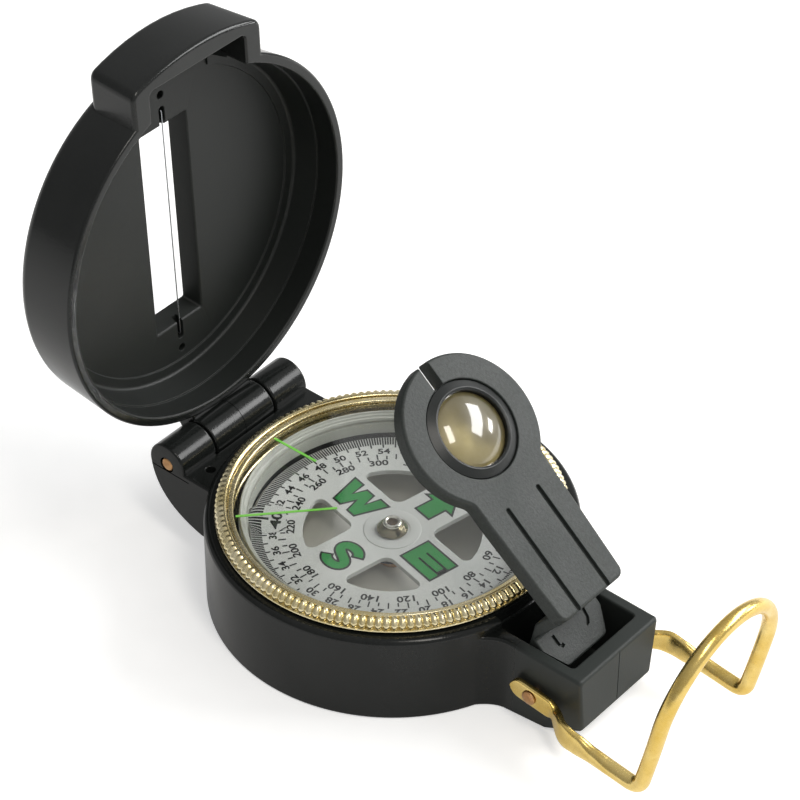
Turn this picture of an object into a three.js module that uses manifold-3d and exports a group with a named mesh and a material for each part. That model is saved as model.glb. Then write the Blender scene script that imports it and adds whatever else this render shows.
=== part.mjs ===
// Lensatic compass: a pocket sighting compass with a hinged cover, a folding lens arm and a wire thumb loop.
// Millimetres, +Z up. The origin is the centre of the case's flat underside. The cover hinges at +Y. The lens
// arm and the thumb loop sit on the front block at -Y. The pose is open for use: cover up, arm half raised.

import * as THREE from 'three';
import { mergeVertices } from 'three/addons/utils/BufferGeometryUtils.js';
import Module from 'manifold-3d';

const wasm = await Module();
wasm.setup();

// Fits
const seatGap = 0.3; // between a piece and the seat that carries it
const layerGap = 0.1; // between flat layers that lie on each other
const pinGap = 0.2; // round a pin in its bore
const cutMargin = 1; // how far a cut runs past the face it opens

// Facets
const drumSides = 72;
const barrelSides = 32;
const pinSides = 16;
const arcSteps = 5;
const easeSteps = 2;
const wireSides = 8;
const loopSteps = 64;

// Case drum
const caseRadius = 27.6;
const caseHeight = 15;
const caseFloor = 3;
const caseFootEdge = 0.4; // rounding of the lower edge
const caseTopEdge = 0.8;
const earHoleRadius = 0.75;
const earHoleOffset = 10; // from the middle of the hinge to the hole in the left ear
const earHoleReach = 27;
const earHoleDepth = 1.2;

// Capsule: cup, gasket and fixed glass under the bezel
const cupRadius = 22.5;
const cupWall = 0.9;
const cupFloor = 2;
const cupRim = 12.9;
const capsuleGasketHeight = 0.35;
const capsuleGlassHeight = 0.5;

// Pivot
const postFlangeRadius = 2.2;
const postFlangeHeight = 0.8;
const postRadius = 0.95;
const postHeight = 4;
const needleRadius = 0.45;
const needlePoint = 0.9; // length of the needle's cone

// Dial
const dialRadius = 20.8;
const dialTop = 10.9;
const dialThickness = 0.8;
const dialBore = 1.6;
const dialHeading = THREE.MathUtils.degToRad(-11.5); // direction of north, turned from +X
const spokeHalf = 3.9; // half width of the four spokes between the windows
const windowOuter = 13.2;
const windowCorner = 1.4;
const hubRadius = 2.5;
const hubHeight = 1.05;
const hubSteps = 3;
const hubBrim = 0.4;
const jewelRadius = 1.1;
const jewelHeight = 0.7;
const jewelCup = 0.6;
const magnetInner = 2.4;
const magnetOuter = 4.6;
const magnetHeight = 1.8;

// Bezel
const ribCount = 140;
const ribDepth = 0.45;
const bezelFlangeRadius = 26;
const bezelFlangeHeight = 0.75;
const bezelCrownRadius = 25.8; // the ribbed crown, above the flange
const bezelShoulderRadius = 25.5;
const bezelShoulder = 1.5; // heights above the bezel's underside
const bezelHeight = 2;
const bezelTopRadius = 24.9;
const bezelMouth = 24.25; // bore above the ledge that carries the crystal
const bezelLedge = 0.4;
const skirtBore = 23.3;
const skirtWall = 0.9;
const skirtFlange = 0.6; // how far the flange stands out of the skirt
const skirtFlangeHeight = 0.6;
const skirtDepth = 2.4; // below the bezel's underside
const retainerHeight = 0.5;
const retainerWidth = 1;
const crystalHeight = 0.5;
const crystalRingHeight = 0.4;
const longLineAngle = THREE.MathUtils.degToRad(137.7);
const longLineInner = 8.1; // radius where the line starts
const shortLineAngle = THREE.MathUtils.degToRad(90.9);
const shortLineInner = 14.7;
const lineEndMargin = 0.4; // from a line's outer end to the ring on the crystal
const lineWidth = 0.4;
const lineHeight = 0.1;
const magnifierWidth = 5;
const magnifierLength = 5.6;
const magnifierCrown = 0.65;
const magnifierReach = 18.2; // radius at the middle of the magnifier

// Front block
const blockTopHalf = 9;
const blockBottomHalf = 7.7;
const blockReach = 41.8; // from the case centre to the front face
const blockHeight = 13.2;
const blockNose = 3.3; // height of the front face's lower edge
const blockHeel = 34.9; // where the sloping underside meets the floor
const blockRoot = 29.2; // where the sides start to flare into the drum
const flareHalf = 13.6;
const flareReach = 23.4;
const wellHalf = 7.1;
const wellFrontWall = 2.7;
const wellBackWall = 1.8;
const wellFloor = 2.2;

// Cover hinge
const hingeReach = 32.4;
const hingeHeight = 14.56;
const hingeHalf = 13.7;
const barrelRadius = 3.5;
const coverKnuckleHalf = 6.3;
const hingePinRadius = 1.1;
const earFootReach = 25.9;
const earFootHeight = 4.1;
const earBellyReach = 35.3; // the ears' lower edge bulges towards this point
const earBellyHeight = 6.5;
const shelfWrap = THREE.MathUtils.degToRad(60); // how far the shelf between the ears goes round the knuckle
const earTopDrop = 0.7; // from the deck down to the ears' top edge
const coverOpening = THREE.MathUtils.degToRad(92.3);

// Cover, in its closed place
const coverRimRadius = 29;
const coverTopRadius = 27.9;
const coverTop = 26.7;
const coverWall = 1.6;
const coverRoof = 3.2;
const coverEdge = 2; // rounding of the top edge
const coverLedge = 0.3; // step inside the rim
const coverLedgeHeight = 2.6;
const webTop = 21.5;
const webBottom = 16.2;
const visorHalf = 12.8;
const visorCorner = 31.6; // reach of the visor's front corners
const visorReach = 33.8;
const visorRoot = 20;
const visorTop = 25;
const visorTopHalf = 11.9;
const visorPocketHalf = 9.6;
const visorPocketReach = 30.5;
const slotHalf = 5; // sight slot at the inner face
const slotFront = 17.5;
const slotBack = 18.3;
const slotDraft = 1.3; // how much each side closes in towards the outer face
const wireRadius = 0.22;
const wireLeg = 1.6; // how far the sight wire's ends reach into the roof
const wireAnchor = 2; // from the slot's ends to the wire's holes
const wireSink = 0.5; // from the inner face in to the wire

// Lens arm, about its pivot: along the plate and up from the pivot, in the folded place
const armPivotReach = 32.4;
const armPivotHeight = 10.6;
const armRaise = THREE.MathUtils.degToRad(39.5);
const armTop = 10.47; // from the pivot up to the plate's upper face
const armPlate = 2.5;
const armEnd = 2.6; // from the pivot to the plate's front end
const armHead = 31.7; // from the pivot to the lens centre
const armHeadRadius = 11.3;
const armNeckHalf = 7.5;
const armFootHalf = 6.9;
const armNeck = 19.5; // from the pivot to where the stem runs into the head
const armCorner = 1.2;
const legThickness = 1.8;
const legKnee = 4.2; // height where the leg's back bends towards the barrel
const tabTop = 2; // from the pivot up to the finger tab's upper face
const tabReach = 3.55;
const tabThickness = 1.5;
const tabFrontHalf = 4.2;
const tabShoulder = 0.6; // from the pivot back to where the tab's sides start to close in
const armBarrel = 2.2;
const armPinRadius = 0.8;
const armPinInset = 0.4; // from the block's side to the pin's end
const grooveOffset = 3.3;
const grooveWidth = 0.7;
const grooveDepth = 0.6;
const grooveLength = 16.8;
const notchHalf = 0.9;
const notchDepth = 4;

// Eye lens and its ring
const lensRadius = 5.9;
const lensFlange = 0.6;
const lensCrown = 2;
const lensBelly = 0.9;
const lensLedge = 0.95; // thickness of the ledge under the lens
const lensLedgeWidth = 0.6;
const lensRingRadius = 7.1;
const lensRingInner = 5.6;
const lensRingHeight = 0.6;

// Thumb loop
const loopPivotReach = 34;
const loopPivotHeight = 6.7;
const loopWire = 1.15;
const loopHalf = 12.3;
const loopArm = 21.2; // from the rivets to the corners
const loopArch = 25.5; // height of the arch above the corners
const loopDip = THREE.MathUtils.degToRad(6); // how far the arms slope down from the rivets
const loopLean = 1.75; // how far the arch leans forward
const loopBend = 2.2;
const loopKinkStart = 4.4; // where the arms leave the block's sides
const loopKinkEnd = 7.5;
const loopCrownSteps = 2;
const tabStripHalf = 1.65;
const tabStripBack = 3.5; // from the rivet to the strip's round end
const tabStripFront = 4.9;
const tabStripThickness = 1;
const loopSideGap = 0.3; // from the block's widest side to the strip
const rivetRadius = 0.8;
const rivetHead = 1.2;
const rivetHeadHeight = 0.4;
const rivetTipInset = 0.25; // from the well's wall to the rivet's tip

// Worked-out places
const bezelBottom = caseHeight + seatGap;
const cupBottom = caseFloor + seatGap;
const cupFloorTop = cupBottom + cupFloor;
const cupBore = cupRadius - cupWall;
const capsuleGasketBottom = cupRim + layerGap;
const capsuleGlassBottom = capsuleGasketBottom + capsuleGasketHeight + layerGap;
const caseBore = cupRadius + seatGap;
const skirtOuter = skirtBore + skirtWall;
const flangeRadius = skirtOuter + skirtFlange;
const skirtBottom = bezelBottom - skirtDepth;
const counterbore = flangeRadius + seatGap;
const counterboreFloor = skirtBottom - seatGap;
const retainerInner = skirtOuter + seatGap;
const retainerOuter = retainerInner + retainerWidth;
const retainerBottom = skirtBottom + skirtFlangeHeight + seatGap;
const crystalRadius = bezelMouth - seatGap;
const crystalBottom = bezelBottom + bezelLedge + layerGap;
const crystalTop = crystalBottom + crystalHeight;
const coverRim = caseHeight + seatGap;
const coverInside = coverTop - coverRoof;
const webReach = coverRimRadius - coverWall; // the hinge web starts inside the cover's wall
const dialBottom = dialTop - dialThickness;
const wellFront = blockReach - wellFrontWall;
const wellBack = counterbore + wellBackWall;

// Half the front block's width: its sides lean in towards the lower front edge
function blockHalfAt(reach, height) {
  const ahead = THREE.MathUtils.clamp((reach - blockRoot) / (blockReach - blockRoot), 0, 1);
  const below = 1 - height / blockHeight;
  return blockTopHalf - (blockTopHalf - blockBottomHalf) * ahead * below;
}

const stripInner = blockTopHalf + loopSideGap;
const stripOuter = stripInner + tabStripThickness;

// Materials
const clearRoughness = 0.05;

function finish(color, roughness, metalness) {
  return new THREE.MeshStandardMaterial({ color, roughness, metalness });
}

function clear(color, opacity) {
  const material = finish(color, clearRoughness, 0);
  material.transparent = true;
  material.opacity = opacity;
  return material;
}

const blackPlastic = () => finish(0x2b2d2c, 0.38, 0);
const greyPlastic = () => finish(0x3c4040, 0.6, 0);
const blackRubber = () => finish(0x1b1c1c, 0.8, 0);
const brass = () => finish(0xc9a94b, 0.28, 1);
const nickel = () => finish(0xb8b2a4, 0.25, 1);
const steel = () => finish(0x9a9ca0, 0.3, 1);
const limePaint = () => finish(0x6fc24a, 0.5, 0);

// Turning geometry into solids and back
function solidOf(geometry) {
  const bare = geometry.clone();
  for (const name of Object.keys(bare.attributes)) {
    if (name !== 'position') {
      bare.deleteAttribute(name);
    }
  }
  const merged = mergeVertices(bare);
  const corners = merged.attributes.position;
  const kept = [];
  let volume = 0;
  const [a, b, c] = [new THREE.Vector3(), new THREE.Vector3(), new THREE.Vector3()];
  for (let i = 0; i < merged.index.count; i += 3) {
    const [p, q, r] = [0, 1, 2].map((k) => merged.index.getX(i + k));
    if (p === q || q === r || r === p) {
      continue;
    }
    kept.push(p, q, r);
    a.fromBufferAttribute(corners, p);
    b.fromBufferAttribute(corners, q);
    c.fromBufferAttribute(corners, r);
    volume += a.dot(b.cross(c));
  }
  if (volume < 0) {
    kept.reverse();
  }
  return new wasm.Manifold(
    new wasm.Mesh({
      numProp: 3,
      vertProperties: new Float32Array(corners.array),
      triVerts: new Uint32Array(kept),
    }),
  );
}

function geometryOf(solid) {
  const mesh = solid.getMesh();
  const geometry = new THREE.BufferGeometry();
  geometry.setAttribute('position', new THREE.BufferAttribute(new Float32Array(mesh.vertProperties), 3));
  geometry.setIndex(new THREE.BufferAttribute(new Uint32Array(mesh.triVerts), 1));
  geometry.computeVertexNormals();
  return geometry;
}

function join(first, ...others) {
  return others.reduce((sum, other) => sum.add(other), first);
}

function cut(first, ...others) {
  return others.reduce((rest, other) => rest.subtract(other), first);
}

// Shapes
function turned(profile, sides = drumSides) {
  const points = profile.map(([radius, height]) => new THREE.Vector2(radius, height));
  const geometry = new THREE.LatheGeometry(points, sides);
  geometry.rotateX(Math.PI / 2);
  return geometry;
}

function ring(inner, outer, bottom, height, sides = drumSides) {
  const top = bottom + height;
  return turned([[inner, bottom], [outer, bottom], [outer, top], [inner, top], [inner, bottom]], sides);
}

function disc(radius, bottom, height, sides = drumSides) {
  const top = bottom + height;
  return turned([[0, bottom], [radius, bottom], [radius, top], [0, top]], sides);
}

function raised(shape, bottom, top) {
  const geometry = new THREE.ExtrudeGeometry(shape, {
    depth: top - bottom,
    bevelEnabled: false,
    curveSegments: arcSteps,
  });
  geometry.translate(0, 0, bottom);
  return geometry;
}

// A side view, drawn in Y and Z, carried from one X to another
function carried(shape, from, to) {
  const geometry = new THREE.ExtrudeGeometry(shape, {
    depth: to - from,
    bevelEnabled: false,
    curveSegments: arcSteps,
  });
  const turn = new THREE.Matrix4().makeBasis(
    new THREE.Vector3(0, 1, 0),
    new THREE.Vector3(0, 0, 1),
    new THREE.Vector3(1, 0, 0),
  );
  geometry.applyMatrix4(turn);
  geometry.translate(from, 0, 0);
  return geometry;
}

function outline(points) {
  return new THREE.Shape(points.map(([x, y]) => new THREE.Vector2(x, y)));
}

function block(low, high) {
  const size = new THREE.Vector3().subVectors(high, low);
  const geometry = new THREE.BoxGeometry(size.x, size.y, size.z);
  geometry.translate((low.x + high.x) / 2, (low.y + high.y) / 2, (low.z + high.z) / 2);
  return geometry;
}

function rodAlongX(radius, from, to, y, z, sides) {
  const geometry = new THREE.CylinderGeometry(radius, radius, to - from, sides);
  geometry.rotateZ(Math.PI / 2);
  geometry.translate((from + to) / 2, y, z);
  return geometry;
}

function rodAlongY(radius, from, to, x, z, sides) {
  const geometry = new THREE.CylinderGeometry(radius, radius, to - from, sides);
  geometry.translate(x, (from + to) / 2, z);
  return geometry;
}

function rodAlongZ(radius, from, to, x, y, sides) {
  const geometry = new THREE.CylinderGeometry(radius, radius, to - from, sides);
  geometry.rotateX(Math.PI / 2);
  geometry.translate(x, y, (from + to) / 2);
  return geometry;
}

// Change the plan of a geometry with height: scale goes from one value at the bottom to another at the top
function tapered(geometry, bottom, top, scaleBottom, scaleTop) {
  const corners = geometry.attributes.position;
  for (let i = 0; i < corners.count; i += 1) {
    const share = (corners.getZ(i) - bottom) / (top - bottom);
    corners.setX(i, corners.getX(i) * THREE.MathUtils.lerp(scaleBottom.x, scaleTop.x, share));
    corners.setY(i, corners.getY(i) * THREE.MathUtils.lerp(scaleBottom.y, scaleTop.y, share));
  }
  return geometry;
}

function arcPoints(centreX, centreY, radiusX, radiusY, from, to, steps = arcSteps) {
  return Array.from({ length: steps + 1 }, (_, i) => {
    const angle = THREE.MathUtils.lerp(from, to, i / steps);
    return [centreX + radiusX * Math.cos(angle), centreY + radiusY * Math.sin(angle)];
  });
}

// The upper outer edge of a turned profile, rounded
function roundedEdge(radius, top, edge) {
  return arcPoints(radius - edge, top - edge, edge, edge, 0, Math.PI / 2);
}

function circlePoints(radius, sides) {
  return arcPoints(0, 0, radius, radius, 0, 2 * Math.PI, sides).slice(0, -1);
}

// A closed outline whose corners are eased by a curve of about the given radius
function easedOutline(points, radius) {
  const corners = points.map(([x, y]) => new THREE.Vector2(x, y));
  const shape = new THREE.Path();
  corners.forEach((corner, i) => {
    const before = corners[(i + corners.length - 1) % corners.length];
    const after = corners[(i + 1) % corners.length];
    const reach = Math.min(radius, corner.distanceTo(before) / 2, corner.distanceTo(after) / 2);
    const start = before.clone().sub(corner).setLength(reach).add(corner);
    const end = after.clone().sub(corner).setLength(reach).add(corner);
    if (i === 0) {
      shape.moveTo(start.x, start.y);
    } else {
      shape.lineTo(start.x, start.y);
    }
    shape.quadraticCurveTo(corner.x, corner.y, end.x, end.y);
  });
  shape.closePath();
  return shape;
}

// The assembly
const compass = new THREE.Group();
const cover = new THREE.Group();
const lensArm = new THREE.Group();
const dial = new THREE.Group();
const bezel = new THREE.Group();
const loop = new THREE.Group();
compass.add(cover, lensArm, dial, bezel, loop);

function addPiece(group, name, geometry, material) {
  const mesh = new THREE.Mesh(geometry, material);
  mesh.name = name;
  group.add(mesh);
}

// Case: drum, front block with its well, two hinge ears and the shelf between them
function makeCase() {
  const drum = solidOf(
    turned([
      [0, 0],
      [caseRadius - caseFootEdge, 0],
      [caseRadius, caseFootEdge],
      ...roundedEdge(caseRadius, caseHeight, caseTopEdge),
      [0, caseHeight],
    ]),
  );
  const plan = new THREE.Shape();
  plan.moveTo(-flareHalf, -flareReach);
  plan.quadraticCurveTo(-blockTopHalf, -(blockRoot + flareReach) / 2, -blockTopHalf, -blockRoot);
  plan.lineTo(-blockTopHalf, -blockReach);
  plan.lineTo(blockTopHalf, -blockReach);
  plan.lineTo(blockTopHalf, -blockRoot);
  plan.quadraticCurveTo(blockTopHalf, -(blockRoot + flareReach) / 2, flareHalf, -flareReach);
  const blockStock = raised(plan, 0, blockHeight);
  const blockCorners = blockStock.attributes.position;
  for (let i = 0; i < blockCorners.count; i += 1) {
    const half = blockHalfAt(-blockCorners.getY(i), blockCorners.getZ(i));
    blockCorners.setX(i, (blockCorners.getX(i) * half) / blockTopHalf);
  }
  const frontBlock = solidOf(blockStock);
  const slope = outline([
    [-blockReach - cutMargin, -cutMargin],
    [-blockReach - cutMargin, blockNose + (cutMargin * blockNose) / (blockReach - blockHeel)],
    [-blockHeel, 0],
    [-blockHeel, -cutMargin],
  ]);
  const underside = solidOf(carried(slope, -flareHalf, flareHalf));
  const well = solidOf(
    block(
      new THREE.Vector3(-wellHalf, -wellFront, wellFloor),
      new THREE.Vector3(wellHalf, -wellBack, caseHeight + cutMargin),
    ),
  );
  const earTop = caseHeight - earTopDrop;
  const earSide = new THREE.Shape();
  earSide.moveTo(cupRadius, earFootHeight);
  earSide.lineTo(earFootReach, earFootHeight);
  earSide.quadraticCurveTo(earBellyReach, earBellyHeight, hingeReach + barrelRadius, hingeHeight);
  earSide.lineTo(hingeReach, earTop);
  earSide.lineTo(cupRadius, earTop);
  const earInner = coverKnuckleHalf + seatGap;
  const knuckleRoom = barrelRadius + seatGap;
  const shelfStart = Math.PI + Math.asin((hingeHeight - earTop) / knuckleRoom);
  const shelfSide = outline([
    [cupRadius, earFootHeight],
    [earFootReach, earFootHeight],
    ...arcPoints(hingeReach, hingeHeight, knuckleRoom, knuckleRoom, Math.PI + shelfWrap, shelfStart),
    [cupRadius, earTop],
  ]);
  const shelf = solidOf(carried(shelfSide, -earInner - seatGap, earInner + seatGap));
  const ears = [-1, 1].map((side) => {
    const [from, to] = [side * earInner, side * hingeHalf].sort((p, q) => p - q);
    const web = solidOf(carried(earSide, from, to));
    const barrel = solidOf(rodAlongX(barrelRadius, from, to, hingeReach, hingeHeight, barrelSides));
    return join(web, barrel);
  });
  const bore = solidOf(
    turned([
      [0, caseFloor],
      [caseBore, caseFloor],
      [caseBore, counterboreFloor],
      [counterbore, counterboreFloor],
      [counterbore, retainerBottom - layerGap],
      [retainerOuter + seatGap, retainerBottom - layerGap],
      [retainerOuter + seatGap, retainerBottom + retainerHeight + layerGap],
      [counterbore, retainerBottom + retainerHeight + layerGap],
      [counterbore, caseHeight + cutMargin],
      [0, caseHeight + cutMargin],
    ]),
  );
  const earHoleFloor = earTop - earHoleDepth;
  const earHole = solidOf(
    rodAlongZ(earHoleRadius, earHoleFloor, earTop + cutMargin, -earHoleOffset, earHoleReach, pinSides),
  );
  const pinBore = (radius, reach, height, half) =>
    solidOf(rodAlongX(radius + pinGap, -half - cutMargin, half + cutMargin, reach, height, pinSides));
  return cut(
    join(drum, frontBlock, shelf, ...ears),
    bore,
    underside,
    well,
    earHole,
    pinBore(hingePinRadius, hingeReach, hingeHeight, hingeHalf),
    pinBore(armPinRadius, -armPivotReach, armPivotHeight, blockTopHalf),
    pinBore(rivetRadius, -loopPivotReach, loopPivotHeight, blockTopHalf),
  );
}
addPiece(compass, 'base_case', geometryOf(makeCase()), blackPlastic());

// Capsule
const cupShell = turned([
  [0, cupBottom],
  [cupRadius, cupBottom],
  [cupRadius, cupRim],
  [cupBore, cupRim],
  [cupBore, cupFloorTop],
  [0, cupFloorTop],
]);
addPiece(compass, 'capsule_cup', geometryOf(solidOf(cupShell)), finish(0xbdb8aa, 0.55, 0));
const capsuleGasket = ring(cupBore, cupRadius, capsuleGasketBottom, capsuleGasketHeight);
addPiece(compass, 'capsule_gasket', geometryOf(solidOf(capsuleGasket)), blackRubber());
const capsuleGlass = disc(cupRadius, capsuleGlassBottom, capsuleGlassHeight);
addPiece(compass, 'capsule_glass', geometryOf(solidOf(capsuleGlass)), clear(0xeef2f0, 0.2));

// Pivot post and needle on the cup's floor
const postBottom = cupFloorTop + layerGap;
const postTop = postBottom + postHeight;
const pivotPost = turned(
  [
    [0, postBottom],
    [postFlangeRadius, postBottom],
    [postFlangeRadius, postBottom + postFlangeHeight],
    [postRadius, postBottom + postFlangeHeight],
    [postRadius, postTop],
    [0, postTop],
  ],
  pinSides,
);
addPiece(compass, 'pivot_post', geometryOf(solidOf(pivotPost)), brass());
const jewelBottom = dialTop - jewelHeight / 2;
const needleBottom = postTop + layerGap;
const needleTip = jewelBottom + jewelCup - seatGap;
const needleShoulder = needleTip - needlePoint;
const pivotNeedle = turned(
  [[0, needleBottom], [needleRadius, needleBottom], [needleRadius, needleShoulder], [0, needleTip]],
  pinSides,
);
addPiece(compass, 'pivot_needle', geometryOf(solidOf(pivotNeedle)), steel());

// Snap ring in the case's groove, over the bezel skirt's flange
const bezelRetainer = ring(retainerInner, retainerOuter, retainerBottom, retainerHeight);
addPiece(compass, 'bezel_retainer', geometryOf(solidOf(bezelRetainer)), steel());

// Dial: a card with four fan windows between its spokes, on a hub with a jewel and a ring magnet
function makeDialCard() {
  const card = outline(circlePoints(dialRadius, drumSides));
  const half = Math.PI / 4 - Math.asin(spokeHalf / windowOuter);
  for (let quarter = 0; quarter < 4; quarter += 1) {
    const middle = ((quarter + 0.5) * Math.PI) / 2;
    const apex = spokeHalf * Math.SQRT2;
    const fan = [
      [apex * Math.cos(middle), apex * Math.sin(middle)],
      ...arcPoints(0, 0, windowOuter, windowOuter, middle - half, middle + half),
    ];
    card.holes.push(new THREE.Path(easedOutline(fan, windowCorner).getPoints(easeSteps)));
  }
  card.holes.push(outline(circlePoints(dialBore, pinSides)));
  return raised(card, dialBottom, dialTop);
}
dial.rotation.z = dialHeading;
addPiece(dial, 'dial_card', geometryOf(solidOf(makeDialCard())), finish(0xc3c9cc, 0.45, 0.2));
const hubBottom = dialTop + layerGap;
const hubTop = hubBottom + hubHeight;
const dialHub = turned(
  [
    [jewelRadius + layerGap, hubBottom],
    [hubRadius, hubBottom],
    [hubRadius, hubBottom + hubBrim],
    ...arcPoints(0, hubBottom + hubBrim, hubRadius - hubBrim, hubHeight - hubBrim, 0, Math.PI / 3, hubSteps),
    [jewelRadius + layerGap, hubTop],
    [jewelRadius + layerGap, hubBottom],
  ],
  barrelSides,
);
addPiece(dial, 'dial_hub', geometryOf(solidOf(dialHub)), nickel());
const pivotJewel = turned(
  [
    [needleRadius + pinGap, jewelBottom],
    [jewelRadius, jewelBottom],
    [jewelRadius, hubTop],
    [0, hubTop],
    [0, jewelBottom + jewelCup],
    [needleRadius + pinGap, jewelBottom],
  ],
  pinSides,
);
addPiece(dial, 'pivot_jewel', geometryOf(solidOf(pivotJewel)), finish(0xb98f45, 0.2, 0.3));
const magnetBottom = dialBottom - layerGap - magnetHeight;
const dialMagnet = ring(magnetInner, magnetOuter, magnetBottom, magnetHeight, barrelSides);
addPiece(dial, 'dial_magnet', geometryOf(solidOf(dialMagnet)), finish(0x55575a, 0.45, 0.8));

// Bezel: a turned ring with a ribbed crown, a ledge under the crystal and a flanged skirt inside the case
function makeBezelRing() {
  const top = bezelBottom + bezelHeight;
  const crownInner = (bezelMouth + bezelTopRadius) / 2;
  const body = solidOf(
    turned([
      [skirtBore, skirtBottom],
      [flangeRadius, skirtBottom],
      [flangeRadius, skirtBottom + skirtFlangeHeight],
      [skirtOuter, skirtBottom + skirtFlangeHeight],
      [skirtOuter, bezelBottom],
      [bezelFlangeRadius, bezelBottom],
      [bezelFlangeRadius, bezelBottom + bezelFlangeHeight],
      [crownInner, bezelBottom + bezelFlangeHeight],
      [crownInner, top],
      [bezelMouth, top],
      [bezelMouth, bezelBottom + bezelLedge],
      [skirtBore, bezelBottom + bezelLedge],
      [skirtBore, skirtBottom],
    ]),
  );
  const crown = turned(
    [
      [bezelMouth + layerGap, bezelBottom + bezelFlangeHeight / 2],
      [bezelCrownRadius, bezelBottom + bezelFlangeHeight / 2],
      [bezelCrownRadius, bezelBottom + bezelFlangeHeight],
      [bezelShoulderRadius, bezelBottom + bezelShoulder],
      [bezelTopRadius, top],
      [bezelMouth + layerGap, top],
      [bezelMouth + layerGap, bezelBottom + bezelFlangeHeight / 2],
    ],
    ribCount * 2,
  );
  const corners = crown.attributes.position;
  const ribHalf = Math.PI / ribCount;
  for (let i = 0; i < corners.count; i += 1) {
    const radius = Math.hypot(corners.getX(i), corners.getY(i));
    const turn = Math.round(Math.atan2(corners.getY(i), corners.getX(i)) / ribHalf);
    if (radius > crownInner && turn % 2 !== 0) {
      const inward = (radius - ribDepth) / radius;
      corners.setX(i, corners.getX(i) * inward);
      corners.setY(i, corners.getY(i) * inward);
    }
  }
  return join(body, solidOf(crown));
}
addPiece(bezel, 'bezel_ring', geometryOf(makeBezelRing()), brass());
const crystalRing = ring(skirtBore, crystalRadius, crystalTop + layerGap, crystalRingHeight);
addPiece(bezel, 'crystal_ring', geometryOf(solidOf(crystalRing)), brass());
const crystal = disc(crystalRadius, crystalBottom, crystalHeight);
addPiece(bezel, 'bezel_crystal', geometryOf(solidOf(crystal)), clear(0xf2f5f4, 0.15));

// Sighting lines: two thin strips on the crystal, each along a radius
function sightLine(inner, angle) {
  const bottom = crystalTop + layerGap;
  const strip = block(
    new THREE.Vector3(inner, -lineWidth / 2, bottom),
    new THREE.Vector3(skirtBore - lineEndMargin, lineWidth / 2, bottom + lineHeight),
  );
  strip.rotateZ(angle);
  return strip;
}
addPiece(bezel, 'long_line', geometryOf(solidOf(sightLine(longLineInner, longLineAngle))), limePaint());
addPiece(bezel, 'short_line', geometryOf(solidOf(sightLine(shortLineInner, shortLineAngle))), limePaint());

// Reading magnifier: a bar lens under the crystal, flat side up, lying along the long line
function makeMagnifier() {
  const top = crystalBottom - layerGap;
  const half = magnifierWidth / 2;
  const bulge = (half ** 2 + magnifierCrown ** 2) / (2 * magnifierCrown);
  const spread = Math.asin(half / bulge);
  const down = -Math.PI / 2;
  const centre = top - magnifierCrown + bulge;
  const section = outline(arcPoints(0, centre, bulge, bulge, down - spread, down + spread));
  const start = magnifierReach - magnifierLength / 2;
  const bar = carried(section, start, start + magnifierLength);
  bar.rotateZ(longLineAngle);
  return bar;
}
addPiece(bezel, 'reading_magnifier', geometryOf(solidOf(makeMagnifier())), clear(0xf4f6f2, 0.25));

// Hinge pin
const hingePin = rodAlongX(hingePinRadius, -hingeHalf, hingeHalf, hingeReach, hingeHeight, pinSides);
addPiece(compass, 'hinge_pin', geometryOf(solidOf(hingePin)), brass());

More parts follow.
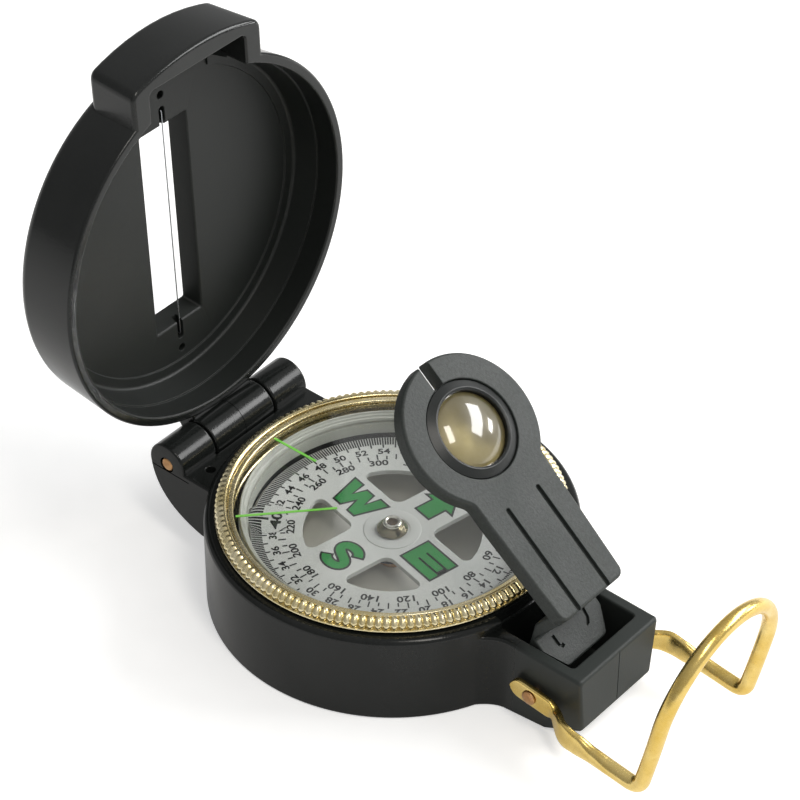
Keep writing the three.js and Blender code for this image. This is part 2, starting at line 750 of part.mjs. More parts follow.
// Cover, made closed and then turned open about the hinge
function makeCover() {
  const shell = solidOf(
    turned([
      [0, coverRim],
      [coverRimRadius, coverRim],
      ...roundedEdge(coverTopRadius, coverTop, coverEdge),
      [0, coverTop],
    ]),
  );
  const plan = new THREE.Shape();
  plan.moveTo(-visorHalf, -visorRoot);
  plan.lineTo(-visorHalf, -visorCorner);
  plan.quadraticCurveTo(0, visorCorner - 2 * visorReach, visorHalf, -visorCorner);
  plan.lineTo(visorHalf, -visorRoot);
  const plain = new THREE.Vector2(1, 1);
  const drawn = new THREE.Vector2(visorTopHalf / visorHalf, 1);
  const visor = solidOf(tapered(raised(plan, coverRim, visorTop), coverRim, visorTop, plain, drawn));
  const webSide = outline([
    [hingeReach, hingeHeight],
    [hingeReach, hingeHeight + barrelRadius],
    [webReach, webTop],
    [webReach, webBottom],
  ]);
  const web = solidOf(carried(webSide, -coverKnuckleHalf, coverKnuckleHalf));
  const knuckle = solidOf(
    rodAlongX(barrelRadius, -coverKnuckleHalf, coverKnuckleHalf, hingeReach, hingeHeight, barrelSides),
  );
  const rimBore = coverRimRadius - coverWall;
  const roofBore = coverTopRadius - coverWall;
  const hollow = solidOf(
    turned([
      [0, coverRim - cutMargin],
      [rimBore, coverRim - cutMargin],
      [rimBore, coverRim + coverLedgeHeight],
      [rimBore - coverLedge, coverRim + coverLedgeHeight],
      [roofBore - coverLedge, coverInside - coverLedge],
      [roofBore - coverWall, coverInside],
      [0, coverInside],
    ]),
  );
  const pocket = solidOf(
    block(
      new THREE.Vector3(-visorPocketHalf, -visorPocketReach, coverRim - cutMargin),
      new THREE.Vector3(visorPocketHalf, -visorRoot, coverInside),
    ),
  );
  const slotLow = coverInside - cutMargin;
  const slotHigh = coverTop + cutMargin;
  const slotBox = block(
    new THREE.Vector3(-slotHalf, -slotFront, slotLow),
    new THREE.Vector3(slotHalf, slotBack, slotHigh),
  );
  const draft = (half) => (half - slotDraft) / half;
  const mid = (slotBack - slotFront) / 2;
  slotBox.translate(0, -mid, 0);
  const length = (slotBack + slotFront) / 2;
  const closing = new THREE.Vector2(draft(slotHalf), draft(length));
  const slot = solidOf(tapered(slotBox, slotLow, slotHigh, plain, closing).translate(0, mid, 0));
  const pinBore = solidOf(
    rodAlongX(
      hingePinRadius + pinGap,
      -coverKnuckleHalf - cutMargin,
      coverKnuckleHalf + cutMargin,
      hingeReach,
      hingeHeight,
      pinSides,
    ),
  );
  const wireTop = coverInside + wireSink + wireLeg;
  const wireHoles = [-slotFront - wireAnchor, slotBack + wireAnchor].map((y) =>
    solidOf(
      rodAlongZ(wireRadius + seatGap, coverInside - cutMargin, wireTop + seatGap, 0, y, pinSides),
    ),
  );
  const wireRoom = wireRadius + seatGap;
  const wireGrooves = [
    [-slotFront - wireAnchor, -slotFront + wireAnchor],
    [slotBack - wireAnchor, slotBack + wireAnchor],
  ].map(([from, to]) =>
    solidOf(
      block(
        new THREE.Vector3(-wireRoom, from, coverInside - cutMargin),
        new THREE.Vector3(wireRoom, to, coverInside + wireSink + wireRoom),
      ),
    ),
  );
  return cut(join(shell, visor, web, knuckle), hollow, pocket, slot, pinBore, ...wireHoles, ...wireGrooves);
}

// A wire through points, with eased corners
function wireThrough(points, radius, bend, steps, sides) {
  const path = new THREE.CurvePath();
  let start = points[0];
  for (let i = 1; i < points.length - 1; i += 1) {
    const enter = points[i - 1].clone().sub(points[i]).setLength(bend).add(points[i]);
    const leave = points[i + 1].clone().sub(points[i]).setLength(bend).add(points[i]);
    path.add(new THREE.LineCurve3(start, enter));
    path.add(new THREE.QuadraticBezierCurve3(enter, points[i], leave));
    start = leave;
  }
  path.add(new THREE.LineCurve3(start, points[points.length - 1]));
  const section = outline(circlePoints(radius, sides));
  return new THREE.ExtrudeGeometry(section, { steps, extrudePath: path, bevelEnabled: false });
}

// Sight wire: a straight run across the slot with a leg at each end
function makeSightWire() {
  const height = coverInside + wireSink;
  const [front, back] = [-slotFront - wireAnchor, slotBack + wireAnchor];
  const run = solidOf(rodAlongY(wireRadius, front - wireRadius, back + wireRadius, 0, height, wireSides));
  const legs = [front, back].map((y) =>
    solidOf(rodAlongZ(wireRadius, height, height + wireLeg, 0, y, wireSides)),
  );
  return join(run, ...legs);
}

cover.position.set(0, hingeReach, hingeHeight);
cover.rotation.x = -coverOpening;
const fromHinge = (geometry) => geometry.translate(0, -hingeReach, -hingeHeight);
addPiece(cover, 'cover', fromHinge(geometryOf(makeCover())), blackPlastic());
addPiece(cover, 'sight_wire', fromHinge(geometryOf(makeSightWire())), steel());

// Lens arm: plate with stem and round head, a leg down into the well and a finger tab, raised about its pin
function makeLensArm() {
  const low = armTop - armPlate;
  const stem = easedOutline(
    [
      [-armFootHalf, armEnd],
      [armFootHalf, armEnd],
      [armNeckHalf, armNeck],
      [armNeckHalf, armHead],
      [-armNeckHalf, armHead],
      [-armNeckHalf, armNeck],
    ],
    armCorner,
  );
  const plate = solidOf(raised(new THREE.Shape(stem.getPoints(arcSteps)), low, armTop));
  const head = solidOf(rodAlongZ(armHeadRadius, low, armTop, 0, armHead, drumSides));
  const legHalf = armFootHalf - seatGap;
  const legBack = armEnd + legThickness;
  const tabMiddle = tabTop - tabThickness / 2;
  const side = outline([
    [armEnd, armTop - armPlate / 2],
    [armEnd, tabMiddle],
    [-armBarrel, tabMiddle],
    ...arcPoints(0, 0, armBarrel, armBarrel, Math.PI, 2 * Math.PI),
    [legBack, legKnee],
    [legBack, armTop - armPlate / 2],
  ]);
  const leg = solidOf(carried(side, -legHalf, legHalf));
  const tongue = outline([
    [-legHalf, armEnd],
    [-legHalf, tabShoulder],
    [-tabFrontHalf, -tabReach],
    [tabFrontHalf, -tabReach],
    [legHalf, tabShoulder],
    [legHalf, armEnd],
  ]);
  const tab = solidOf(raised(tongue, tabTop - tabThickness, tabTop));
  const pinBore = solidOf(rodAlongX(armPinRadius + pinGap, -wellHalf, wellHalf, 0, 0, pinSides));
  const grooves = [-1, 1].map((hand) =>
    solidOf(
      block(
        new THREE.Vector3(hand * grooveOffset - grooveWidth / 2, armEnd - cutMargin, armTop - grooveDepth),
        new THREE.Vector3(hand * grooveOffset + grooveWidth / 2, armEnd + grooveLength, armTop + cutMargin),
      ),
    ),
  );
  const notch = solidOf(
    block(
      new THREE.Vector3(-notchHalf, armHead + armHeadRadius - notchDepth, low - cutMargin),
      new THREE.Vector3(notchHalf, armHead + armHeadRadius + cutMargin, armTop + cutMargin),
    ),
  );
  const lensBores = [
    [lensRadius - lensLedgeWidth, low - cutMargin],
    [lensRadius + pinGap, low + lensLedge],
    [lensRingRadius + seatGap, low + lensLedge + layerGap + lensFlange],
  ].map(([radius, from]) => solidOf(rodAlongZ(radius, from, armTop + cutMargin, 0, armHead, drumSides)));
  return cut(join(plate, head, leg, tab), pinBore, ...grooves, notch, ...lensBores);
}

const lensBottom = armTop - armPlate + lensLedge + layerGap;
const lensShoulder = lensBottom + lensFlange;
const domeRadius = lensRingInner - layerGap;

// Points of a shallow dome from its edge to its crown
function domePoints(edge, height, crown) {
  const sphere = (edge ** 2 + crown ** 2) / (2 * Math.abs(crown));
  const sign = Math.sign(crown);
  const spread = Math.asin(Math.min(1, edge / sphere));
  return Array.from({ length: arcSteps + 1 }, (_, i) => {
    const angle = spread * (1 - i / arcSteps);
    const rise = Math.abs(crown) - sphere * (1 - Math.cos(angle));
    return [sphere * Math.sin(angle), height + sign * rise];
  });
}

const bellyRadius = lensRadius - lensLedgeWidth - layerGap;
const eyeLens = turned(
  [
    ...domePoints(bellyRadius, lensBottom, -lensBelly).reverse(),
    [lensRadius, lensBottom],
    [lensRadius, lensShoulder],
    ...domePoints(domeRadius, lensShoulder, lensCrown),
  ],
  barrelSides,
);
eyeLens.translate(0, armHead, 0);
const lensRing = ring(lensRingInner, lensRingRadius, lensShoulder + layerGap, lensRingHeight, barrelSides);
lensRing.translate(0, armHead, 0);

lensArm.position.set(0, -armPivotReach, armPivotHeight);
lensArm.rotation.x = armRaise;
addPiece(lensArm, 'lens_arm', geometryOf(makeLensArm()), greyPlastic());
addPiece(lensArm, 'eye_lens', geometryOf(solidOf(eyeLens)), clear(0xe9dcc0, 0.35));
addPiece(lensArm, 'lens_ring', geometryOf(solidOf(lensRing)), greyPlastic());

const armPinHalf = blockHalfAt(armPivotReach, armPivotHeight) - armPinInset;
const armPin = rodAlongX(armPinRadius, -armPinHalf, armPinHalf, -armPivotReach, armPivotHeight, pinSides);
addPiece(compass, 'lens_arm_pin', geometryOf(solidOf(armPin)), steel());

// Thumb loop: one wire from strip to strip, made level about the rivets and then dipped
function makeThumbLoop() {
  const wireStart = stripInner + loopWire;
  const shoulder = loopArch - loopHalf;
  const archPoint = (across, height) => {
    const lean = loopLean * Math.sin((height / loopArch) * (Math.PI / 2));
    return [across, -loopArm - lean, height];
  };
  const arm = [
    [wireStart, -loopKinkStart + loopBend, 0],
    [wireStart, -loopKinkStart, 0],
    [loopHalf, -loopKinkEnd, 0],
    archPoint(loopHalf, 0),
    archPoint(loopHalf, shoulder / 2),
    archPoint(loopHalf, shoulder),
  ];
  const crown = Array.from({ length: loopCrownSteps }, (_, i) => {
    const angle = ((i + 1) / (loopCrownSteps + 1)) * (Math.PI / 2);
    return archPoint(loopHalf * Math.cos(angle), shoulder + loopHalf * Math.sin(angle));
  });
  const half = [...arm, ...crown];
  const apex = archPoint(0, loopArch);
  const mirrored = half.map(([x, y, z]) => [-x, y, z]).reverse();
  const points = [...half, apex, ...mirrored].map(([x, y, z]) => new THREE.Vector3(x, y, z));
  const wire = solidOf(wireThrough(points, loopWire, loopBend / 2, loopSteps, wireSides));
  const strip = new THREE.Shape();
  strip.absarc(-tabStripFront + tabStripHalf, 0, tabStripHalf, Math.PI / 2, (3 * Math.PI) / 2, false);
  strip.absarc(tabStripBack - tabStripHalf, 0, tabStripHalf, -Math.PI / 2, Math.PI / 2, false);
  const hole = new THREE.Path();
  hole.absarc(0, 0, rivetRadius + pinGap, 0, 2 * Math.PI, true);
  strip.holes.push(hole);
  const strips = [
    solidOf(carried(strip, stripInner, stripOuter)),
    solidOf(carried(strip, -stripOuter, -stripInner)),
  ];
  return join(wire, ...strips);
}
loop.position.set(0, -loopPivotReach, loopPivotHeight);
loop.rotation.x = loopDip;
addPiece(loop, 'thumb_loop', geometryOf(makeThumbLoop()), brass());

// Loop rivets
for (const [side, name] of [[-1, 'left_loop_rivet'], [1, 'right_loop_rivet']]) {
  const headStart = stripOuter + layerGap;
  const rivet = turned(
    [
      [0, wellHalf + rivetTipInset],
      [rivetRadius, wellHalf + rivetTipInset],
      [rivetRadius, headStart],
      [rivetHead, headStart],
      ...domePoints(rivetHead, headStart + rivetHeadHeight / 2, rivetHeadHeight / 2),
    ],
    pinSides,
  );
  rivet.rotateY((side * Math.PI) / 2);
  rivet.translate(0, -loopPivotReach, loopPivotHeight);
  addPiece(compass, name, geometryOf(solidOf(rivet)), brass());
}

export default compass;
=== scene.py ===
import math

import bmesh
import bpy
from mathutils import Matrix, Vector


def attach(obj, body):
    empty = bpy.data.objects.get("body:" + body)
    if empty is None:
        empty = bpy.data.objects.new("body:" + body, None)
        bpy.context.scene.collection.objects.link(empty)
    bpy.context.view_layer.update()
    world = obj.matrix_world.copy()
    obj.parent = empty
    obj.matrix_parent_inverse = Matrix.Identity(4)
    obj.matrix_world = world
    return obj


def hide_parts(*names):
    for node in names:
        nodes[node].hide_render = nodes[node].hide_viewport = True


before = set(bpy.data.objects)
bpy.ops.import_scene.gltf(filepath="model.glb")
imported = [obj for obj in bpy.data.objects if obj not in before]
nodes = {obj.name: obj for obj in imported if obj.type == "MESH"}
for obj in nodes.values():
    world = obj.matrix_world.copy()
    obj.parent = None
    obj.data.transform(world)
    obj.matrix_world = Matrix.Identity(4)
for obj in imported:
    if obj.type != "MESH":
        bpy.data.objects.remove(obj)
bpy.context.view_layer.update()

from types import SimpleNamespace

mm = 0.001


# small helpers: colour, nodes, outlines, bodies

def linear(hexColor):
    parts = [int(hexColor[i:i + 2], 16) / 255 for i in (1, 3, 5)]
    return [p / 12.92 if p <= 0.04045 else ((p + 0.055) / 1.055) ** 2.4 for p in parts] + [1.0]


def named(values):
    # a dictionary whose values are read as s.radius
    return SimpleNamespace(**values)


def addNode(tree, kind, settings=None, links=None):
    # settings in lower case are options of the node, the others are its sockets; gives its outputs
    node = tree.nodes.new("ShaderNode" + kind)
    for key, value in (settings or {}).items():
        if key == "ramp":
            for stop, (position, colour) in zip(node.color_ramp.elements, value):
                stop.position = position
                stop.color = linear(colour)
        elif isinstance(key, str) and key[0].islower():
            setattr(node, key, value)
        else:
            node.inputs[key].default_value = value
    for key, socket in (links or {}).items():
        tree.links.new(socket, node.inputs[key])
    return node.outputs


def newTree(name):
    material = bpy.data.materials.new(name)
    material.use_nodes = True
    material.node_tree.nodes.clear()
    return material, material.node_tree


def easing(steps):
    # how far a rounded edge of radius one stays away from its two faces, over a quarter turn
    turns = [k / steps * math.pi / 2 for k in range(steps + 1)]
    return [(1 - math.sin(a), 1 - math.cos(a)) for a in turns]


def arc(x, y, radius, start, end, steps):
    # points round a centre, between two angles in degrees
    turns = [math.radians(start + (end - start) * k / steps) for k in range(steps + 1)]
    return [(x + radius * math.cos(t), y + radius * math.sin(t)) for t in turns]


def bow(start, pull, end, steps):
    # points on a curve that leaves and arrives towards one pull point
    def at(t):
        shares = (1 - t) ** 2, 2 * t * (1 - t), t * t
        return tuple(sum(w * v for w, v in zip(shares, values)) for values in zip(start, pull, end))

    return [at(k / steps) for k in range(steps + 1)]


def rounded(corners, steps=5):
    # closed outline through corners of x, y and corner radius; a corner without radius stays sharp
    outline = []
    for k, (x, y, *given) in enumerate(corners):
        point = Vector((x, y))
        if not given or given[0] <= 0:
            outline.append(point)
            continue
        back = Vector(corners[k - 1][:2]) - point
        ahead = Vector(corners[(k + 1) % len(corners)][:2]) - point
        half = back.angle(ahead) / 2
        reach = min(given[0] / math.tan(half), 0.49 * back.length, 0.49 * ahead.length)
        centre = point + (back.normalized() + ahead.normalized()).normalized() * reach / math.cos(half)
        start = point + back.normalized() * reach - centre
        end = point + ahead.normalized() * reach - centre
        sweep = math.atan2(start.x * end.y - start.y * end.x, start.dot(end))
        for step in range(steps + 1):
            outline.append(centre + Matrix.Rotation(sweep * step / steps, 2) @ start)
    return outline


def oblong(left, right, low, high, lowRound, highRound, steps=5):
    # a rectangle, its corners rounded at the low and at the high end
    lower = [(left, low, lowRound), (right, low, lowRound)]
    return rounded(lower + [(right, high, highRound), (left, high, highRound)], steps)


def inset(outline, distance):
    # the outline moved towards its inside
    points = [Vector(p) for p in outline]
    area = sum(a.x * b.y - b.x * a.y for a, b in zip(points, points[1:] + points[:1]))
    side = math.copysign(1, area)
    moved = []
    for k, point in enumerate(points):
        come = (point - points[k - 1]).normalized()
        go = (points[(k + 1) % len(points)] - point).normalized()
        inward = Vector((-come.y - go.y, come.x + go.x)) * side
        moved.append(point + inward * distance / max(0.3, 1 + come.dot(go)))
    return moved


def circle(radius, sides, x=0.0, y=0.0):
    return [Vector(p) for p in arc(x, y, radius, 0, 360, sides)[:-1]]


def loft(rings):
    body = bmesh.new()
    rows = [[body.verts.new(p) for p in ring] for ring in rings]
    count = len(rows[0])
    for low, high in zip(rows, rows[1:]):
        for k in range(count):
            j = (k + 1) % count
            body.faces.new((low[k], low[j], high[j], high[k]))
    body.faces.new(rows[0])
    body.faces.new(rows[-1])
    bmesh.ops.recalc_face_normals(body, faces=body.faces)
    return body


def turned(profile, sides, ribs=None):
    # a profile of radius and height carried round the upright axis
    body = bmesh.new()
    rings = []
    for radius, height in profile:
        if radius < 1e-6:
            rings.append([body.verts.new((0, 0, height))])
            continue
        ring = []
        for k in range(sides):
            turn = 2 * math.pi * k / sides
            reach, level = ribs(turn, radius, height) if ribs else (radius, height)
            ring.append(body.verts.new((reach * math.cos(turn), reach * math.sin(turn), level)))
        rings.append(ring)
    for low, high in zip(rings, rings[1:] + rings[:1]):
        if len(low) == len(high) == 1:
            continue
        for k in range(sides):
            j = (k + 1) % sides
            corners = [low[k % len(low)], low[j % len(low)], high[j % len(high)], high[k % len(high)]]
            body.faces.new(list(dict.fromkeys(corners)))
    bmesh.ops.recalc_face_normals(body, faces=body.faces)
    return body


def plate(outline, low, high, lowEdge, highEdge, steps=4, grow=None):
    # a flat body whose two rims are rounded; grow may change the plan with height
    rings = [(lowEdge * a, low + lowEdge * b) for a, b in easing(steps)]
    rings += [(highEdge * b, high - highEdge * a) for a, b in easing(steps)]
    shaped = []
    for amount, z in rings:
        share = grow(z) if grow else 1
        shaped.append([(p.x * share, p.y, z) for p in inset(outline, amount)])
    return loft(shaped)


def pocket(outline, floor, mouth, flare, margin=1.0):
    # tool for a hole with a rounded lip at its mouth
    up = math.copysign(1, mouth - floor)
    rings = [(0, floor)]
    rings += [(-flare * b, mouth - up * flare * a) for a, b in easing(4)]
    rings.append((-flare, mouth + up * margin))
    return loft([[(p.x, p.y, z) for p in inset(outline, amount)] for amount, z in rings])


alongX = Matrix(((0, 0, 1, 0), (1, 0, 0, 0), (0, 1, 0, 0), (0, 0, 0, 1)))  # side view Y, Z carried along X


def shifted(body, matrix):
    body.transform(matrix)
    return body


def rod(radius, low, high, edge, sides):
    return turned(rounded([(0, low), (radius, low, edge), (radius, high, edge), (0, high)], 4), sides)


def rodAcross(radius, low, high, edge, sides, y, z):
    return shifted(rod(radius, low, high, edge, sides), Matrix.Translation((0, y, z)) @ alongX)


def block(low, high):
    plan = [(low[0], low[1]), (high[0], low[1]), (high[0], high[1]), (low[0], high[1])]
    return loft([[(x, y, z) for x, y in plan] for z in (low[2], high[2])])


def sweepWire(path, sectionAt, sides):
    # a wire along a path, its section is half thickness, half height and squareness by the distance from an end
    lengths = [0]
    for a, b in zip(path, path[1:]):
        lengths.append(lengths[-1] + (b - a).length)
    side = Vector((1, 0, 0))
    last = (path[1] - path[0]).normalized()
    rings = []
    for k, point in enumerate(path):
        along = (path[min(k + 1, len(path) - 1)] - path[max(k - 1, 0)]).normalized()
        side = last.rotation_difference(along) @ side
        last = along
        side = (side - along * side.dot(along)).normalized()
        up = along.cross(side)
        thick, tall, square = sectionAt(min(lengths[k], lengths[-1] - lengths[k]))
        ring = []
        for j in range(sides):
            c, d = math.cos(2 * math.pi * j / sides), math.sin(2 * math.pi * j / sides)
            across = side * thick * math.copysign(abs(c) ** (2 / square), c)
            ring.append(point + across + up * tall * math.copysign(abs(d) ** (2 / square), d))
        rings.append(ring)
    return loft(rings)


def bentPath(points, bends, steps=7):
    # straight runs with an eased bend at each inner point
    path = [points[0]]
    for before, corner, after, reach in zip(points, points[1:], points[2:], bends):
        enter = corner + (before - corner).normalized() * reach
        leave = corner + (after - corner).normalized() * reach
        path += [Vector(p) for p in bow(enter, corner, leave, steps)]
    return path + [points[-1]]


def addObject(name, data):
    item = bpy.data.objects.new(name, data)
    bpy.context.scene.collection.objects.link(item)
    return item


def addBody(name, body):
    mesh = bpy.data.meshes.new(name)
    body.to_mesh(mesh)
    body.free()
    return addObject(name, mesh)


def combine(body, tools, operation):
    # a body joined with, cut by or kept inside each tool in turn
    holders = [addBody("stock", part) for part in [body] + tools]
    for tool in holders[1:]:
        step = holders[0].modifiers.new("step", "BOOLEAN")
        step.solver = "MANIFOLD"
        step.operation = operation
        step.object = tool
    bpy.context.view_layer.update()
    shown = holders[0].evaluated_get(bpy.context.evaluated_depsgraph_get())
    result = bmesh.new()
    result.from_mesh(shown.to_mesh())
    shown.to_mesh_clear()
    for holder in holders:
        mesh = holder.data
        bpy.data.objects.remove(holder)
        bpy.data.meshes.remove(mesh)
    return result


def makePiece(name, body, material, slot, rider, stands=(), place=None, angle=32):
    # body in millimetres becomes a piece in metres that rides on a part of the frame
    if place:
        body.transform(place)
    bmesh.ops.remove_doubles(body, verts=body.verts, dist=0.0008)
    body.transform(Matrix.Scale(mm, 4))
    piece = addBody(name, body)
    piece.data.shade_smooth()
    piece.data.set_sharp_from_angle(angle=math.radians(angle))
    piece.data.materials.append(material)
    even = piece.modifiers.new("even shading", "WEIGHTED_NORMAL")
    even.keep_sharp = True
    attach(piece, rider)
    if stands:
        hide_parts(*stands)
    return piece


def turnedPiece(name, profile, steps, sides, *finish):
    # a piece turned from a profile of radius, height and corner rounding
    return makePiece(name, turned(rounded(profile, steps), sides), *finish)


# where the moving groups stand at rest, in millimetres and degrees
hingeY, hingeZ = 32.4, 14.56
restShape = dict(
    coverTilt=-92.3, armPivot=(0, -32.4, 10.6), armTilt=39.5, loopPivot=(0, -34.0, 6.7), loopTilt=6.0,
    dialTurn=-11.5)


def tilted(pivot, degrees):
    return Matrix.Translation(pivot) @ Matrix.Rotation(math.radians(degrees), 4, "X")


coverPlace = tilted((0, hingeY, hingeZ), restShape["coverTilt"]) @ Matrix.Translation((0, -hingeY, -hingeZ))
armPlace = tilted(restShape["armPivot"], restShape["armTilt"])
loopPlace = tilted(restShape["loopPivot"], restShape["loopTilt"])
dialPlace = Matrix.Rotation(math.radians(restShape["dialTurn"]), 4, "Z")


# materials, their grain, patches, rubbing marks and smears in millimetres
# grain and rubbing marks are really a few hundredths of a millimetre and are drawn coarser, so that they show

# what a plastic has where its own look says nothing else
plasticLook = dict(fleck=0.2, grain=0.25, patch=4.0, bump=0.1, ior=1.5, specular=0.5, dulled=None)


def mouldedPlastic(name, given):
    # colour drifts in broad patches, the tool's spark grain breaks up the gloss
    look = named(dict(plasticLook, **given))
    material, tree = newTree(name)
    spot = addNode(tree, "TexCoord")["Object"]
    grain = addNode(tree, "TexNoise", {
        "Scale": 1 / (look.grain * mm), "Detail": 3.0, "Roughness": 0.6}, {"Vector": spot})["Fac"]
    patch = addNode(tree, "TexNoise", {
        "Scale": 1 / (look.patch * mm), "Detail": 5.0, "Roughness": 0.55}, {"Vector": spot})["Fac"]
    tone = addNode(tree, "ValToRGB", {"ramp": [(0.3, look.dark), (0.7, look.light)]}, {"Fac": patch})["Color"]
    fleck = addNode(tree, "MapRange", {
        "From Min": 0.35, "From Max": 0.75, "To Min": 0.0, "To Max": look.fleck}, {"Value": grain})[0]
    colour = addNode(tree, "Mix", {"data_type": "RGBA", 7: linear(look.fleckColour)}, {0: fleck, 6: tone})[2]
    gloss = addNode(tree, "MapRange", {
        "From Min": 0.3, "From Max": 0.7, "To Min": look.roughness[0], "To Max": look.roughness[1]}, {
        "Value": patch})[0]
    # the stretch's colour is a matt skin's own colour on the cover's inside, and painted light on the case's
    # front block
    if look.dulled:  # a stretch with a duller skin, by the distance from a line or a plane
        dulled = named(look.dulled)
        away = addNode(tree, "VectorMath", {
            "operation": "SUBTRACT", 1: [c * mm for c in dulled.centre]}, {0: spot})[0]
        away = addNode(tree, "VectorMath", {"operation": "MULTIPLY", 1: dulled.across}, {0: away})[0]
        away = addNode(tree, "VectorMath", {"operation": "LENGTH"}, {0: away})["Value"]
        share = addNode(tree, "MapRange", {
            "From Min": dulled.start * mm, "From Max": dulled.end * mm}, {"Value": away})[0]
        colour = addNode(tree, "Mix", {"data_type": "RGBA", 7: linear(dulled.colour)}, {0: share, 6: colour})[2]
        gloss = addNode(tree, "Mix", {"B": dulled.roughness}, {0: share, "A": gloss})[0]
    bump = addNode(tree, "Bump", {"Strength": look.bump, "Distance": look.grain * mm * 0.3}, {"Height": grain})
    shader = addNode(tree, "BsdfPrincipled", {"IOR": look.ior, "Specular IOR Level": look.specular}, {
        "Base Color": colour, "Roughness": gloss, "Normal": bump["Normal"]})
    addNode(tree, "OutputMaterial", None, {"Surface": shader["BSDF"]})
    return material


def platedMetal(name, given):
    # fine rubbing marks and a drift of tarnish over a bright metal
    look = named(given)
    material, tree = newTree(name)
    spot = addNode(tree, "TexCoord")["Object"]
    rub = addNode(tree, "TexNoise", {
        "Scale": 1 / (look.rub * mm), "Detail": 4.0, "Roughness": 0.65}, {"Vector": spot})["Fac"]
    tarnish = addNode(tree, "TexNoise", {
        "Scale": 1 / (look.patch * mm), "Detail": 4.0, "Roughness": 0.6}, {"Vector": spot})["Fac"]
    tone = addNode(tree, "ValToRGB", {"ramp": [(0.3, look.dark), (0.65, look.light)]}, {"Fac": tarnish})
    gloss = addNode(tree, "MapRange", {
        "From Min": 0.3, "From Max": 0.7, "To Min": look.roughness[0], "To Max": look.roughness[1]}, {
        "Value": rub})
    bump = addNode(tree, "Bump", {"Strength": look.bump, "Distance": look.rub * mm * 0.2}, {"Height": rub})
    shader = addNode(tree, "BsdfPrincipled", {"Metallic": 1.0}, {
        "Base Color": tone["Color"], "Roughness": gloss[0], "Normal": bump["Normal"]})
    addNode(tree, "OutputMaterial", None, {"Surface": shader["BSDF"]})
    return material


def clearWindow(name, given):
    # refracts what lies under it, faint hand marks dull it, lamp light and soft light pass straight through
    look = named(given)
    material, tree = newTree(name)
    spot = addNode(tree, "TexCoord")["Object"]
    smear = addNode(tree, "TexNoise", {
        "Scale": 1 / (look.smear * mm), "Detail": 6.0, "Roughness": 0.7}, {"Vector": spot})["Fac"]
    gloss = addNode(tree, "MapRange", {
        "From Min": 0.45, "From Max": 0.8, "To Min": look.roughness[0], "To Max": look.roughness[1]}, {
        "Value": smear})
    tone = addNode(tree, "ValToRGB", {"ramp": [(0.3, look.dark), (0.7, look.light)]}, {"Fac": smear})
    shader = addNode(tree, "BsdfPrincipled", {
        "Transmission Weight": look.clear, "IOR": look.ior, "Specular Tint": linear(look.glare),
        "Coat Weight": look.polish, "Coat Roughness": 0.02, "Coat IOR": 1.75}, {
        "Base Color": tone["Color"], "Roughness": gloss[0]})
    through = addNode(tree, "BsdfTransparent", {"Color": linear(look.light)})
    rays = addNode(tree, "LightPath")
    plain = addNode(tree, "Math", {"operation": "MAXIMUM"}, {
        0: rays["Is Shadow Ray"], 1: rays["Is Diffuse Ray"]})
    mix = addNode(tree, "MixShader", None, {0: plain[0], 1: shader["BSDF"], 2: through["BSDF"]})
    addNode(tree, "OutputMaterial", None, {"Surface": mix["Shader"]})
    return material


blackLook = dict(
    dark="#121413", light="#191b1a", fleck=0.22, fleckColour="#2c2f2d", grain=0.35, patch=9.0,
    roughness=(0.1, 0.2), ior=1.54)
# black ABS, injection moulded on a spark-eroded tool: satin charcoal outside, the cover's inside left matt
blackAbs = mouldedPlastic("moulded black ABS", dict(blackLook, specular=0.32, dulled=dict(
    centre=(0, 0, 46.74), across=(1, 0, 1), start=27.8, end=27.55, colour="#181b19", roughness=0.46)))
# the case is the same ABS; its front block has a matter skin and a lighter grey colour, which is painted light
# standing for the light that falls on the block
caseAbs = mouldedPlastic("moulded black ABS with painted light on its block", dict(blackLook, specular=0.27, dulled=dict(
    centre=(0, 20, 0), across=(0, 1, 0), start=48.5, end=53.0, colour="#2f3331", roughness=0.5)))
# grey-black ABS of the sighting arm: same process, coarser tool, so it stays matt and reads lighter
armAbs = mouldedPlastic("moulded grey ABS", dict(
    dark="#292d2b", light="#303432", fleck=0.35, fleckColour="#474d4a", grain=0.4, patch=7.0, bump=0.4,
    roughness=(0.44, 0.56), ior=1.54, specular=0.34))
# the same grey ABS, smoother, painted darker for the ring round the lens as the shade in the groove round it
ringAbs = mouldedPlastic("moulded grey ABS painted dark as shade", dict(
    dark="#171a19", light="#1e2120", fleckColour="#2c2f2d", grain=0.35, patch=5.0, bump=0.15,
    roughness=(0.3, 0.4), ior=1.54, specular=0.4))
styreneLook = dict(fleck=0.1, grain=0.6, patch=8.0, bump=0.05, ior=1.59)
# white polystyrene cup: smooth, a little waxy, throws light back up through the dial's windows
cupPlastic = mouldedPlastic("moulded white polystyrene", dict(
    styreneLook, dark="#e9e8df", light="#f1f0e8", fleckColour="#f8f7f2", roughness=(0.4, 0.5)))
# the collar above it is the same plastic in grey
collarPlastic = mouldedPlastic("moulded grey polystyrene", dict(
    styreneLook, dark="#a0a39b", light="#acafa6", fleckColour="#bcbfb7", roughness=(0.34, 0.44)))
# nitrile gasket: dull and nearly black
gasketRubber = mouldedPlastic("moulded nitrile rubber", dict(
    dark="#141515", light="#1c1d1d", fleck=0.1, fleckColour="#262727", grain=0.3, patch=5.0, bump=0.2,
    roughness=(0.7, 0.85)))
# silver-white enamel screened on the card: pale, with a fine metallic grit
dialEnamel = mouldedPlastic("screened silver enamel", dict(
    dark="#bfc2be", light="#cacdc9", fleck=0.5, fleckColour="#e2e4e1", grain=0.22, patch=12.0, bump=0.06,
    roughness=(0.38, 0.5)))
# black printing ink: matt, edges soak a little
blackInk = mouldedPlastic("printed black ink", dict(
    dark="#0c0d0d", light="#141616", fleck=0.3, fleckColour="#242727", roughness=(0.5, 0.65)))
